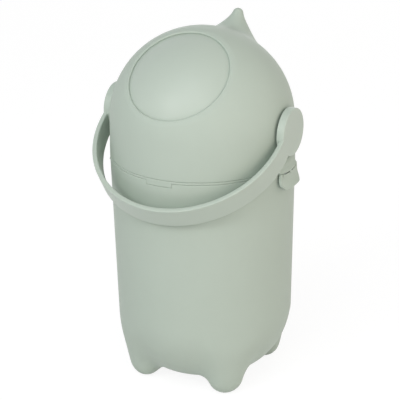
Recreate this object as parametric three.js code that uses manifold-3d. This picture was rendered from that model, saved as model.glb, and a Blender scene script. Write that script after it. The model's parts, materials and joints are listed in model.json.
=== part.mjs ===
// A free-standing nappy bin, in millimetres, +Z up, front towards -Y.
// A tall tapered body on four moulded legs carries a bag ring and a domed lid.
// Inside the lid a hollow ball turns with the carrying handle. With the handle down, its closed
// side fills the round opening and its cup faces down into the bin. With the handle up, the cup
// faces the opening. Two clips hold the lid on the body.

import * as THREE from 'three';
import { mergeVertices } from 'three/addons/utils/BufferGeometryUtils.js';
import Module from 'manifold-3d';

const wasm = await Module();
wasm.setup();

// Clearances
const gap = 0.3;
const runningGap = 0.5;
const overrun = 4;
const mergeTolerance = 0.01;

// Facet counts
const rimSteps = 40;
const sideSteps = 80;
const discSteps = 28;
const bearingSteps = 20;
const legSteps = 16;
const pinSteps = 10;
const domeSteps = 8;
const ballSteps = 14;
const cavitySteps = 8;
const bowlSteps = 6;
const cornerSteps = 3;

// Body
const rimRadius = 120;
const bodyWall = 3;
const rimHeight = 308.4;
const draftShare = 0.0217;
const bowlFloorHeight = 13;
const bowlRise = 88;
const bowlSpread = 67;

// Legs
const legInset = 34.4;
const legRadius = 23.1;
const footFlatRadius = 6;
const legRootRise = 68;
const legFlare = THREE.MathUtils.degToRad(16);
const legLean = THREE.MathUtils.degToRad(9);

// Bag ring
const ringThickness = 3;
const ringSkirtWall = 1.7;
const ringSkirtDepth = 16.5;
const tabWidth = 35.4;
const tabDrop = 5;

// Lid
const lidSkirtHeight = 43;
const lidTaper = 0.8;
const domeWall = 3;
const lidFlangeThickness = 4.5;
const spigotWall = 2;
const spigotDepth = 6;
const sealWidth = 2.8;
const sealHeight = 1.7;

// Opening
const openingTilt = THREE.MathUtils.degToRad(39.3);
const openingRadius = 65.6;
const lipRound = 2.4;
const lipSweepShare = 0.68;
const wiperWidth = 6.4;

// Horn on the dome
const hornRootTilt = THREE.MathUtils.degToRad(52);
const hornRootDepthShare = 0.72;
const hornRootRadius = 49.2;
const hornTipRadius = 7.1;
const hornTipTilt = THREE.MathUtils.degToRad(42.972);
const hornRise = 40.7;
const hornBend = 5.9;
const hornTaperShare = 1.31;
const hornSteps = 8;

// Ball
const ballGap = 3;
const ballWall = 2.5;
const ballFlatInset = 1.5;
const ballSplit = 16;
const cupMouthInset = 3.6;
const cupWaistDraft = 3;
const cupBottomDraft = 7;
const cupFloorShare = 0.4;
const cupCorner = 22;
const cupWall = 2.2;

// Handle
const handleDrop = THREE.MathUtils.degToRad(32.25);
const handleSweep = THREE.MathUtils.degToRad(125);
const bowReach = 33.5;
const bandWidth = 29.8;
const bandThickness = 6.2;
const bandEdge = 1.2;
const hubDiscRadius = 30.8;
const hubDiscThickness = 10;
const hubDiscWall = 3;
const hubRibWall = 2;
const hubRibCount = 6;

// Hub bearing
const hubFlatInset = 2.8;
const hubBossRadius = 24;
const hubBossDepth = 6.8;
const axleRadius = 10.3;
const bushWall = 2.7;
const bushFlangeRadius = 17;
const bushFlangeThickness = 0.8;
const washerThickness = 2.4;
const washerRadius = 18.5;
const keySide = 14;
const keyDepth = 6.5;
const axleFlangeRadius = 14;
const axleFlangeThickness = 2.7;
const axleScrewRadius = 2;
const axleScrewHeadRadius = 4.2;
const axleScrewHeadHeight = 2.4;
const axleScrewCover = 1.4;

// Ball screws
const ballScrewCount = 4;
const ballScrewRadius = 1.6;
const ballScrewHeadRadius = 3.6;
const ballScrewHeadHeight = 2.4;
const ballScrewGrip = 14;
const ballBossWall = 2.4;
const ballBossFloor = 5.5;

// Side clips
const clipWidth = 48;
const clipCorner = 9.5;
const bracketProud = 5.5;
const bracketFace = 2.6;
const bracketShoulder = 6.7;
const bracketShoulderProud = 2.8;
const bracketTop = 4.5;
const bracketTopProud = 1.9;
const clipAxisDrop = 53.6;
const barrelRadius = 1.8;
const clipPinRadius = 0.8;
const bracketLip = 1.4;
const plateStart = 1.2;
const clipLength = 17.9;
const clipFlare = 5.3;
const clipThickness = 2.8;
const centreEarWidth = 5.4;
const endEarWidth = 4.5;
const knuckleWidth = 4.4;
const beadProud = 2;
const beadHeight = 3;
const beadDrop = 11.7;
const noseDrop = 15.6;
const noseHeight = 2.4;
const noseWidth = 30;

// Sides of the hub axis
const rightSide = 1;
const leftSide = -1;

// Sizes worked out from the ones above
const domeRadius = rimRadius - lidTaper;
const ringInnerRadius = rimRadius - bodyWall - gap - ringSkirtWall;
const ringTop = rimHeight + gap + ringThickness;
const lidEdge = ringTop + gap;
const hubHeight = lidEdge + lidSkirtHeight;
const domeInnerRadius = domeRadius - domeWall;
const spigotRadius = ringInnerRadius - 2 * gap;
const lidBore = spigotRadius - spigotWall;
const ballRadius = domeInnerRadius - ballGap;
const ballInnerRadius = ballRadius - ballWall;
const hubFlat = domeRadius - hubFlatInset;
const hubBossFace = hubFlat - hubBossDepth;
const bushRadius = axleRadius + gap + bushWall;
const bushInnerFace = hubBossFace - gap - bushFlangeThickness;
const ballFlat = bushInnerFace - runningGap - ballFlatInset * gap;
const discInnerFace = hubFlat + gap + washerThickness + gap;
const discOuterFace = discInnerFace + hubDiscThickness;
const bowRadius = discOuterFace;
const legOffset = (rimRadius - legInset) * Math.SQRT1_2;
const legCentreHeight = Math.sqrt(legRadius ** 2 - footFlatRadius ** 2);
const cupMouthRadius = openingRadius - cupMouthInset;
const cupWaistRadius = cupMouthRadius - cupWaistDraft;
const cupBottomRadius = cupMouthRadius - cupBottomDraft;
const clipAxisRadius = rimRadius + (3 * gap) / 2 + barrelRadius;
const clipAxisHeight = hubHeight - clipAxisDrop;
const cupTilt = Math.PI / 2 - openingTilt - handleSweep;
const bandHalf = bandWidth / 2 - bandEdge;
const handleFront = (bowReach + bowRadius) * Math.cos(handleDrop) + bandHalf * Math.sin(handleDrop);
const frameShift = (handleFront - rimRadius) / 2;

// Colours
const sage = 0xb8c7b8;
const sagePale = 0xc2cfc2;
const sealGrey = 0x8f9a90;
const steel = 0xb9bcbf;

// Turns a closed geometry into a solid: shared corners merged, facing out
function solidOf(geometry) {
  const bare = geometry.index ? geometry.toNonIndexed() : geometry.clone();
  for (const name of Object.keys(bare.attributes)) {
    if (name !== 'position') bare.deleteAttribute(name);
  }
  const merged = mergeVertices(bare, 1e-4);
  const corners = merged.attributes.position.array;
  const kept = [];
  const index = merged.index.array;
  for (let i = 0; i < index.length; i += 3) {
    const [a, b, c] = [index[i], index[i + 1], index[i + 2]];
    if (a !== b && b !== c && c !== a) kept.push(a, b, c);
  }
  if (signedVolume(corners, kept) < 0) {
    for (let i = 0; i < kept.length; i += 3) [kept[i], kept[i + 1]] = [kept[i + 1], kept[i]];
  }
  const mesh = new wasm.Mesh({
    numProp: 3,
    vertProperties: new Float32Array(corners),
    triVerts: new Uint32Array(kept),
  });
  return new wasm.Manifold(mesh);
}

function signedVolume(corners, index) {
  const point = (i) => new THREE.Vector3().fromArray(corners, 3 * i);
  let volume = 0;
  for (let i = 0; i < index.length; i += 3) {
    volume += point(index[i]).dot(point(index[i + 1]).cross(point(index[i + 2])));
  }
  return volume;
}

function geometryOf(solid) {
  const mesh = solid.getMesh();
  const geometry = new THREE.BufferGeometry();
  const corners = new Float32Array(3 * mesh.numVert);
  for (let i = 0; i < mesh.numVert; i += 1) {
    for (let k = 0; k < 3; k += 1) corners[3 * i + k] = mesh.vertProperties[mesh.numProp * i + k];
  }
  geometry.setAttribute('position', new THREE.BufferAttribute(corners, 3));
  geometry.setIndex(new THREE.BufferAttribute(new Uint32Array(mesh.triVerts), 1));
  geometry.computeVertexNormals();
  return geometry;
}

function joined(solids) {
  return solids.reduce((whole, next) => whole.add(next));
}

// Points of a circular or elliptical arc, from one angle to another
function arc(centreX, centreY, radiusX, radiusY, from, to, steps) {
  const points = [];
  for (let i = 0; i <= steps; i += 1) {
    const angle = from + ((to - from) * i) / steps;
    points.push([centreX + radiusX * Math.cos(angle), centreY + radiusY * Math.sin(angle)]);
  }
  return points;
}

// Revolves [radius, height] points round +Z
function turned(points, around) {
  const outline = points.map(([radius, height]) => new THREE.Vector2(Math.max(radius, 0), height));
  return new THREE.LatheGeometry(outline, around).rotateX(Math.PI / 2);
}

// Closes a ring profile on itself before it is revolved
function turnedRing(points, around) {
  return turned([...points, points[0]], around);
}

// Revolves round the hub axis instead, outwards on the given side
function turnedOnHub(points, around, side) {
  const geometry = turned(points, around).rotateY((side * Math.PI) / 2);
  return geometry.translate(0, 0, hubHeight);
}

// Stands a profile revolved round +Z along a tilted axis through the dome's centre
function leaned(geometry, tilt) {
  return geometry.rotateX(tilt).translate(0, 0, hubHeight);
}

function box(width, depth, height, x, y, z) {
  return solidOf(new THREE.BoxGeometry(width, depth, height).translate(x, y, z));
}

// Stretch of a ring round +Z that lies at the right side, cut to a width along Y
function atRightSide(profile, width) {
  const reach = 2 * rimRadius;
  const stretch = box(reach, width, reach, rimRadius, 0, hubHeight);
  return solidOf(turnedRing(profile, sideSteps)).intersect(stretch);
}

// A pin, barrel or hole along Y at the clip's axis
function clipRod(radius, from, to, around) {
  const rod = new THREE.CylinderGeometry(radius, radius, to - from, around);
  return solidOf(rod.translate(clipAxisRadius, (from + to) / 2, clipAxisHeight));
}

function mirrored(solid) {
  return solid.mirror([1, 0, 0]);
}

function wallRadius(height) {
  return rimRadius - draftShare * (rimHeight - height);
}

// The body's outline, or with an inset the hollow inside it
function bowlProfile(inset, topHeight) {
  const rise = bowlRise - inset;
  const spread = bowlSpread - inset;
  const points = [[0, bowlFloorHeight + inset]];
  for (let i = 0; i <= bowlSteps; i += 1) {
    const angle = (Math.PI / 2) * (i / bowlSteps);
    const height = bowlFloorHeight + inset + rise * (1 - Math.cos(angle));
    points.push([wallRadius(height) - inset - spread * (1 - Math.sin(angle)), height]);
  }
  points.push([wallRadius(topHeight) - inset, topHeight], [0, topHeight]);
  return points;
}

// One leg round its own axis: a ball end that widens upwards as a cone
function legProfile(inset) {
  const radius = legRadius - inset;
  const round = arc(0, 0, radius, radius, -Math.PI / 2, -legFlare, cornerSteps + 1);
  const root = (radius + legRootRise * Math.sin(legFlare)) / Math.cos(legFlare);
  return [...round, [root, legRootRise], [0, legRootRise]];
}

// What the legs may fill: the body's wall carried on straight down to the floor
function legEnvelope(inset) {
  const top = legCentreHeight + legRootRise + overrun;
  return solidOf(turned([
    [0, inset],
    [wallRadius(inset) - inset, inset],
    [wallRadius(top) - inset, top],
    [0, top],
  ], rimSteps));
}

// Four legs that lean inwards as they rise, cut flat at the floor
function legs(inset) {
  const steps = inset ? pinSteps : legSteps;
  const solids = [];
  for (const x of [-legOffset, legOffset]) {
    for (const y of [-legOffset, legOffset]) {
      const leg = turned(legProfile(inset), steps).rotateY(-legLean).rotateZ(Math.atan2(y, x));
      solids.push(solidOf(leg.translate(x, y, legCentreHeight)));
    }
  }
  return joined(solids).intersect(legEnvelope(inset));
}

// Catch under each clip: a short bead on the body's wall
function catchBeads() {
  const top = clipAxisHeight - beadDrop;
  const root = rimRadius - bodyWall;
  const profile = [
    [root, top + beadHeight / 2],
    [rimRadius, top + beadHeight / 2],
    [rimRadius + beadProud, top],
    [rimRadius + beadProud, top - beadHeight / 2],
    [root, top - beadHeight],
  ];
  const ring = solidOf(turnedRing(profile, rimSteps));
  const reach = 2 * (rimRadius + beadProud + overrun);
  return ring.intersect(box(reach, noseWidth, reach, 0, 0, top));
}

function bodyShell() {
  const outside = solidOf(turned(bowlProfile(0, rimHeight), rimSteps)).add(legs(0));
  const beads = catchBeads();
  const hollow = solidOf(turned(bowlProfile(bodyWall, rimHeight + overrun), rimSteps));
  const shell = outside.add(beads).subtract(hollow).subtract(legs(bodyWall));
  const notchDepth = tabDrop + gap;
  const notchHeight = notchDepth + overrun;
  const middle = rimHeight - notchDepth + notchHeight / 2;
  const width = tabWidth + 2 * gap;
  const depth = 2 * overrun + bodyWall;
  return shell.subtract(box(width, depth, notchHeight, 0, -rimRadius + overrun / 2, middle));
}

// The ring that clamps the bag over the rim, with its finger tab at the front
function bagRing() {
  const flangeUnder = rimHeight + gap;
  const skirtRadius = ringInnerRadius + ringSkirtWall;
  const skirtEnd = rimHeight - ringSkirtDepth;
  const draft = draftShare * ringSkirtDepth;
  const profile = [
    [ringInnerRadius, ringTop],
    [rimRadius, ringTop],
    [rimRadius, flangeUnder],
    [skirtRadius, flangeUnder],
    [skirtRadius - draft, skirtEnd],
    [ringInnerRadius - draft, skirtEnd],
  ];
  const ring = solidOf(turnedRing(profile, rimSteps));
  const height = tabDrop + gap + ringThickness / 2;
  const depth = rimRadius - ringInnerRadius;
  const middle = rimHeight - tabDrop + height / 2;
  const block = box(tabWidth, depth, height, 0, -rimRadius + depth / 2, middle);
  const band = solidOf(turnedRing([
    [ringInnerRadius, ringTop],
    [rimRadius, ringTop],
    [rimRadius, rimHeight - tabDrop],
    [ringInnerRadius, rimHeight - tabDrop],
  ], rimSteps));
  return ring.add(block.intersect(band));
}

// The horn is the hull of a row of balls that shrink along a bent axis
function hornPoint(share) {
  const root = new THREE.Vector2(Math.sin(hornRootTilt), Math.cos(hornRootTilt));
  root.multiplyScalar(hornRootDepthShare * domeRadius);
  const tip = new THREE.Vector2(Math.sin(hornTipTilt), Math.cos(hornTipTilt));
  tip.multiplyScalar(domeRadius + hornRise);
  const middle = root.clone().add(tip).multiplyScalar(1 / 2);
  middle.x += hornBend;
  const last = tip.clone().sub(tip.clone().sub(middle).setLength(hornTipRadius));
  const point = root.multiplyScalar((1 - share) ** 2);
  return point.addScaledVector(middle, 2 * share * (1 - share)).addScaledVector(last, share ** 2);
}

function hornBall(share) {
  return hornTipRadius + (hornRootRadius - hornTipRadius) * (1 - share) ** hornTaperShare;
}

// Centre, direction and radius of the ring where the hull touches the ball at one share
function hornRing(share, inset) {
  const step = 1e-3;
  const from = Math.max(share - step, 0);
  const to = Math.min(share + step, 1);
  const along = hornPoint(to).sub(hornPoint(from));
  const slope = (hornBall(to) - hornBall(from)) / along.length();
  const radius = hornBall(share) - inset;
  const centre = hornPoint(share).addScaledVector(along.normalize(), -slope * radius);
  return { centre, along, radius: radius * Math.sqrt(1 - slope ** 2) };
}

// Rings of the first ball, from its widest place to where the hull leaves it
function hornRoot(inset) {
  const first = hornRing(0, inset);
  const ball = hornRootRadius - inset;
  const reach = Math.acos(first.radius / ball);
  const rings = [];
  for (let i = 0; i < cornerSteps; i += 1) {
    const angle = (reach * i) / cornerSteps;
    const centre = hornPoint(0).addScaledVector(first.along, ball * Math.sin(angle));
    rings.push({ centre, along: first.along, radius: ball * Math.cos(angle) });
  }
  return rings;
}

function hornSections(inset, steps) {
  const rings = hornRoot(inset);
  for (let i = 0; i <= steps; i += 1) rings.push(hornRing(i / steps, inset));
  const end = rings[rings.length - 1];
  const tipCentre = hornPoint(1);
  const tipBall = hornBall(1) - inset;
  for (let i = 1; i < cornerSteps; i += 1) {
    const angle = (Math.PI / 2) * (i / cornerSteps);
    const centre = tipCentre.clone().addScaledVector(end.along, tipBall * Math.sin(angle));
    rings.push({ centre, along: end.along, radius: tipBall * Math.cos(angle) });
  }
  return { rings, tip: tipCentre.clone().addScaledVector(end.along, tipBall) };
}

// Lofts the horn's sections into one closed geometry, from its root to its tip
function hornGeometry(inset, steps, around) {
  const { rings, tip } = hornSections(inset, steps);
  const corners = [];
  const index = [];
  for (const { centre, along, radius } of rings) {
    for (let k = 0; k < around; k += 1) {
      const turn = (2 * Math.PI * k) / around;
      const side = radius * Math.sin(turn);
      corners.push(radius * Math.cos(turn), centre.x - side * along.y, centre.y + side * along.x);
    }
  }
  for (let row = 0; row + 1 < rings.length; row += 1) {
    for (let k = 0; k < around; k += 1) {
      const a = row * around + k;
      const b = row * around + ((k + 1) % around);
      index.push(a, b, b + around, a, b + around, a + around);
    }
  }
  const root = corners.length / 3;
  corners.push(0, rings[0].centre.x, rings[0].centre.y, 0, tip.x, tip.y);
  const last = (rings.length - 1) * around;
  for (let k = 0; k < around; k += 1) {
    const next = (k + 1) % around;
    index.push(root, next, k, root + 1, last + k, last + next);
  }
  const geometry = new THREE.BufferGeometry();
  geometry.setAttribute('position', new THREE.Float32BufferAttribute(corners, 3));
  geometry.setIndex(index);
  return geometry.translate(0, 0, hubHeight);
}

// Lug on the lid above each clip, with the ears that hold the clip's pin
function clipBracket() {
  const outer = rimRadius + bracketProud;
  const low = clipAxisHeight + bracketLip;
  const inner = domeInnerRadius;
  const profile = [
    [inner, low],
    [outer, low],
    [outer, low + bracketFace],
    [rimRadius + bracketShoulderProud, low + bracketShoulder],
    [rimRadius + bracketTopProud, lidEdge],
    [domeRadius - gap, lidEdge + bracketTop],
    [inner, lidEdge + bracketTop],
  ];
  const width = clipWidth + 2 * gap;
  const half = width / 2;
  const swing = Math.hypot(outer - clipAxisRadius, plateStart) + gap;
  const relief = clipRod(swing, -half - overrun, half + overrun, legSteps);
  const lug = atRightSide(profile, width).subtract(relief);
  const ears = [
    [-centreEarWidth / 2, centreEarWidth / 2],
    [half - endEarWidth, half],
    [-half, endEarWidth - half],
  ].map(([from, to]) => bracketEar(from, to));
  const bodySpace = solidOf(turned([
    [0, clipAxisHeight - barrelRadius],
    [rimRadius + runningGap, clipAxisHeight - barrelRadius],
    [rimRadius + runningGap, lidEdge],
    [0, lidEdge],
  ], rimSteps));
  const bore = clipRod(clipPinRadius + gap, -half - overrun, half + overrun, pinSteps);
  return joined([lug, ...ears]).subtract(bodySpace).subtract(bore);
}

function bracketEar(from, to) {
  const rise = bracketLip + bracketFace + gap;
  const width = (3 * barrelRadius) / 2;
  const x = clipAxisRadius - (2 * barrelRadius - width) / 2;
  const web = box(width, to - from, rise, x, (from + to) / 2, clipAxisHeight + rise / 2);
  return clipRod(barrelRadius, from, to, legSteps).add(web);
}

function domeOutside() {
  const crown = arc(0, hubHeight, domeRadius, domeRadius, 0, Math.PI / 2, domeSteps);
  return turned([[0, lidEdge], [rimRadius, lidEdge], ...crown], rimSteps);
}

function domeHollow() {
  const shoulder = lidEdge + lidFlangeThickness;
  const crown = arc(0, hubHeight, domeInnerRadius, domeInnerRadius, 0, Math.PI / 2, domeSteps);
  return turned([
    [0, lidEdge - spigotDepth - overrun],
    [lidBore, lidEdge - spigotDepth - overrun],
    [lidBore, shoulder],
    [domeInnerRadius, shoulder + domeInnerRadius - lidBore],
    ...crown,
  ], rimSteps);
}

// Cutter for the round opening, flared outwards so that the lip is rounded
function openingCutter() {
  const seat = Math.sqrt(domeRadius ** 2 - openingRadius ** 2);
  const lipEnd = lipSweepShare * Math.PI;
  const middle = [openingRadius + lipRound, seat - lipRound];
  const round = arc(...middle, lipRound, lipRound, Math.PI, lipEnd, cornerSteps);
  const last = round[round.length - 1];
  const wide = last[0] + overrun / 4;
  return leaned(turned([
    [0, seat / 2],
    [openingRadius, seat / 2],
    ...round,
    [wide, domeRadius + overrun],
    [0, domeRadius + overrun],
  ], rimSteps), openingTilt);
}

function hubBoss(side) {
  return solidOf(turnedOnHub([
    [0, hubBossFace],
    [hubBossRadius, hubBossFace],
    [hubBossRadius, hubFlat],
    [0, hubFlat],
  ], discSteps, side));
}

function hubCut(side) {
  const bore = bushRadius + gap;
  const hole = solidOf(turnedOnHub([
    [0, hubBossFace - overrun],
    [bore, hubBossFace - overrun],
    [bore, hubFlat + overrun],
    [0, hubFlat + overrun],
  ], bearingSteps, side));
  const pocket = hubDiscRadius + runningGap;
  const facing = solidOf(turnedOnHub([
    [0, hubFlat],
    [pocket, hubFlat],
    [pocket, hubFlat + overrun],
    [0, hubFlat + overrun],
  ], discSteps, side));
  return hole.add(facing);
}

function lidSpigot() {
  const groove = [
    [spigotRadius + 2 * gap, lidEdge - overrun],
    [spigotRadius + 4 * gap + sealWidth, lidEdge - overrun],
    [spigotRadius + 4 * gap + sealWidth, lidEdge + sealHeight + gap],
    [spigotRadius + 2 * gap, lidEdge + sealHeight + gap],
  ];
  const spigot = [
    [lidBore, lidEdge - spigotDepth],
    [spigotRadius, lidEdge - spigotDepth],
    [spigotRadius, lidEdge + lidFlangeThickness / 2],
    [lidBore, lidEdge + lidFlangeThickness / 2],
  ];
  return { spigot: solidOf(turnedRing(spigot, rimSteps)), groove: solidOf(turnedRing(groove, rimSteps)) };
}

function domeLid() {
  const bracket = clipBracket();
  const horn = solidOf(hornGeometry(0, hornSteps, legSteps));
  const outside = joined([solidOf(domeOutside()), horn, bracket, mirrored(bracket)]);
  const hornHollow = solidOf(hornGeometry(domeWall, hornSteps / 2, pinSteps));
  const hollow = solidOf(domeHollow()).add(hornHollow);
  const { spigot, groove } = lidSpigot();
  let lid = outside.subtract(hollow).add(spigot).subtract(groove);
  for (const side of [leftSide, rightSide]) lid = lid.add(hubBoss(side)).subtract(hubCut(side));
  return lid.subtract(solidOf(openingCutter()));
}

// Soft ring in the lid's rim, pressed on the bag ring
function rimSeal() {
  const inner = spigotRadius + 3 * gap;
  return solidOf(turnedRing([
    [inner, lidEdge],
    [inner + sealWidth, lidEdge],
    [inner + sealWidth, lidEdge + sealHeight],
    [inner, lidEdge + sealHeight],
  ], rimSteps));
}

// Soft ring behind the opening's lip that wipes the ball
function openingSeal() {
  const inside = ballRadius + gap + gap / 3;
  const outside = domeInnerRadius - 4 * gap;
  const start = openingRadius + gap;
  const end = start + wiperWidth;
  const on = (radius, ball) => [radius, Math.sqrt(ball ** 2 - radius ** 2)];
  const profile = [on(start, inside), on(end, inside), on(end, outside), on(start, outside)];
  return solidOf(leaned(turnedRing(profile, rimSteps), openingTilt));
}

// A ball round the dome's centre, flat at both hubs
function hubBall(radius, flat, steps, around) {
  const edge = Math.asin(flat / radius);
  const round = arc(0, 0, radius, radius, edge, -edge, steps);
  return solidOf(turnedOnHub([[0, flat], ...round, [0, -flat]], around, rightSide));
}

function ballOutside() {
  return hubBall(ballRadius, ballFlat, ballSteps, rimSteps);
}

function ballCavity() {
  return hubBall(ballInnerRadius, ballFlat - ballWall, cavitySteps, discSteps);
}

// Everything on the cup's side of the ball's split, moved by an offset along the cup's axis
function cupSide(start, end) {
  const wide = ballRadius + overrun;
  const block = turned([[0, start], [wide, start], [wide, end], [0, end]], legSteps);
  return solidOf(leaned(block, cupAxisTurn()));
}

function cupAxisTurn() {
  return Math.PI / 2 - cupTilt;
}

// The cup's outline from its floor to its mouth, set out by a wall
function cupProfile(wall) {
  const mouth = Math.sqrt(ballRadius ** 2 - cupMouthRadius ** 2);
  const floor = -cupFloorShare * ballRadius;
  const corner = cupCorner + wall;
  const middle = cupBottomRadius - cupCorner;
  const round = arc(middle, floor + cupCorner, corner, corner, -Math.PI / 2, 0, cornerSteps);
  return { floor: floor - wall, mouth, round, waist: [cupWaistRadius + wall, ballSplit] };
}

function cupSolid(wall, top) {
  const { floor, round, waist, mouth } = cupProfile(wall);
  const edge = cupMouthRadius + wall;
  const points = [[0, floor], ...round, waist, [edge, mouth], [edge, top], [0, top]];
  return solidOf(leaned(turned(points, discSteps), cupAxisTurn()));
}

function ballScrewSpots() {
  const reach = ballInnerRadius - ballScrewHeadRadius - ballBossWall;
  const spots = [];
  for (let i = 0; i < ballScrewCount; i += 1) {
    const angle = (2 * Math.PI * (i + 1 / 2)) / ballScrewCount;
    spots.push([reach * Math.cos(angle), reach * Math.sin(angle)]);
  }
  return spots;
}

// A round post along the cup's axis at one screw
function screwPost([x, y], radius, from, to) {
  const post = new THREE.CylinderGeometry(radius, radius, to - from, pinSteps).rotateX(Math.PI / 2);
  return solidOf(leaned(post.translate(x, y, (from + to) / 2), cupAxisTurn()));
}

function ballCup() {
  const bossRadius = ballScrewHeadRadius + ballBossWall;
  const seat = ballSplit + ballBossFloor;
  const whole = ballOutside().intersect(cupSide(ballSplit, ballRadius + overrun));
  let shell = whole.subtract(ballCavity());
  for (const spot of ballScrewSpots()) {
    shell = shell.add(screwPost(spot, bossRadius, ballSplit, ballRadius).intersect(whole));
  }
  shell = shell.add(cupSolid(cupWall, ballRadius).intersect(ballOutside()));
  for (const spot of ballScrewSpots()) {
    shell = shell.subtract(screwPost(spot, ballScrewHeadRadius + gap, seat, ballRadius + overrun));
    shell = shell.subtract(screwPost(spot, ballScrewRadius + gap, ballSplit - overrun, seat + gap));
  }
  return shell.subtract(cupSolid(0, ballRadius + overrun));
}

function ballCover() {
  const bossRadius = ballScrewHeadRadius + ballBossWall;
  const end = ballSplit - gap;
  const whole = ballOutside().intersect(cupSide(-ballRadius - overrun, end));
  let shell = whole.subtract(ballCavity());
  for (const spot of ballScrewSpots()) {
    const start = end - ballScrewGrip;
    shell = shell.add(screwPost(spot, bossRadius, start - overrun, end).intersect(whole));
    shell = shell.subtract(screwPost(spot, ballScrewRadius + gap, start, end + overrun));
  }
  const key = keySide + 2 * gap;
  const slot = 2 * (ballFlat + overrun);
  const keyHole = new THREE.BoxGeometry(slot, key, key).rotateX(-handleDrop);
  return shell.subtract(solidOf(keyHole.translate(0, 0, hubHeight)));
}

function ballScrew(spot) {
  const seat = ballSplit + ballBossFloor + gap;
  const inHead = seat + ballScrewHeadHeight / 2;
  const shank = screwPost(spot, ballScrewRadius, ballSplit - ballScrewGrip + gap, inHead);
  return shank.add(screwPost(spot, ballScrewHeadRadius, seat, seat + ballScrewHeadHeight));
}

// The bow's outline in its own plane: two straight arms and half a circle
function bowShape() {
  const wide = bowRadius - bandEdge;
  const narrow = bowRadius - bandThickness + bandEdge;
  const outer = arc(0, bowReach, wide, wide, 0, Math.PI, rimSteps / 2);
  const inner = arc(0, bowReach, narrow, narrow, Math.PI, 0, rimSteps / 2);
  const points = [[wide, 0], ...outer, [-wide, 0], [-narrow, 0], ...inner, [narrow, 0]];
  return new THREE.Shape(points.map(([x, y]) => new THREE.Vector2(x, y)));
}

function handleBow() {
  const depth = bandWidth - 2 * bandEdge;
  const bow = new THREE.ExtrudeGeometry(bowShape(), {
    depth, bevelEnabled: true, bevelThickness: bandEdge, bevelSize: bandEdge, bevelSegments: 1,
  });
  bow.translate(0, 0, -depth / 2).rotateX(Math.PI + handleDrop).translate(0, 0, hubHeight);
  return solidOf(bow);
}

// Hub disc at one end of the handle, hollow on the side towards the lid
function hubDisc(side) {
  return solidOf(turnedOnHub([
    [0, discInnerFace],
    [hubDiscRadius, discInnerFace],
    [hubDiscRadius, discOuterFace - bandEdge],
    [hubDiscRadius - bandEdge, discOuterFace],
    [0, discOuterFace],
  ], discSteps, side));
}

function hubRecess(side) {
  const floor = discOuterFace - hubDiscWall;
  const ring = solidOf(turnedOnHub([
    [washerRadius + gap, discInnerFace - overrun],
    [hubDiscRadius - hubDiscWall, discInnerFace - overrun],
    [hubDiscRadius - hubDiscWall, floor],
    [washerRadius + gap, floor],
    [washerRadius + gap, discInnerFace - overrun],
  ], discSteps, side));
  const length = 2 * hubDiscRadius;
  const ribs = [];
  for (let i = 0; i < hubRibCount / 2; i += 1) {
    const rib = new THREE.BoxGeometry(hubDiscThickness, length, hubRibWall);
    rib.rotateX((2 * Math.PI * i) / hubRibCount - handleDrop);
    ribs.push(solidOf(rib.translate((side * (discInnerFace + discOuterFace)) / 2, 0, hubHeight)));
  }
  return ring.subtract(joined(ribs));
}

function keySocket(side) {
  const from = discInnerFace - overrun;
  const to = discInnerFace + keyDepth + gap;
  const key = keySide + 2 * gap;
  const socket = new THREE.BoxGeometry(to - from, key, key).rotateX(-handleDrop);
  const pilot = turnedOnHub([
    [0, discInnerFace],
    [axleScrewRadius + gap, discInnerFace],
    [axleScrewRadius + gap, discOuterFace - axleScrewCover + gap],
    [0, discOuterFace - axleScrewCover + gap],
  ], pinSteps, side);
  return solidOf(socket.translate((side * (from + to)) / 2, 0, hubHeight)).add(solidOf(pilot));
}

function handle() {
  let grip = handleBow();
  for (const side of [leftSide, rightSide]) {
    grip = grip.add(hubDisc(side)).subtract(hubRecess(side)).subtract(keySocket(side));
  }
  return grip;
}

// Keyed axle that joins the handle's disc to the ball through the lid's wall
function axle(side) {
  const ballWallInside = ballFlat - ballWall;
  const flangeFace = ballWallInside - gap;
  const round = solidOf(turnedOnHub([
    [0, ballFlat + gap],
    [axleRadius, ballFlat + gap],
    [axleRadius, discInnerFace - gap],
    [0, discInnerFace - gap],
  ], bearingSteps, side));
  const flange = solidOf(turnedOnHub([
    [0, flangeFace - axleFlangeThickness],
    [axleFlangeRadius, flangeFace - axleFlangeThickness],
    [axleFlangeRadius, flangeFace],
    [0, flangeFace],
  ], bearingSteps, side));
  const from = flangeFace - axleFlangeThickness / 2;
  const to = discInnerFace + keyDepth;
  const key = new THREE.BoxGeometry(to - from, keySide, keySide).rotateX(-handleDrop);
  const bore = turnedOnHub([
    [0, flangeFace - axleFlangeThickness - overrun],
    [axleScrewRadius + gap, flangeFace - axleFlangeThickness - overrun],
    [axleScrewRadius + gap, to + overrun],
    [0, to + overrun],
  ], pinSteps, side);
  const bar = solidOf(key.translate((side * (from + to)) / 2, 0, hubHeight));
  return joined([round, flange, bar]).subtract(solidOf(bore));
}

function axleScrew(side) {
  const seat = ballFlat - ballWall - gap - axleFlangeThickness - gap;
  return solidOf(turnedOnHub([
    [0, seat - axleScrewHeadHeight],
    [axleScrewHeadRadius, seat - axleScrewHeadHeight],
    [axleScrewHeadRadius, seat],
    [axleScrewRadius, seat],
    [axleScrewRadius, discOuterFace - axleScrewCover],
    [0, discOuterFace - axleScrewCover],
  ], pinSteps, side));
}

function bush(side) {
  const bore = axleRadius + gap;
  return solidOf(turnedOnHub([
    [bore, bushInnerFace],
    [bushFlangeRadius, bushInnerFace],
    [bushFlangeRadius, bushInnerFace + bushFlangeThickness],
    [bushRadius, bushInnerFace + bushFlangeThickness],
    [bushRadius, hubFlat + gap],
    [bore, hubFlat + gap],
    [bore, bushInnerFace],
  ], bearingSteps, side));
}

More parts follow.
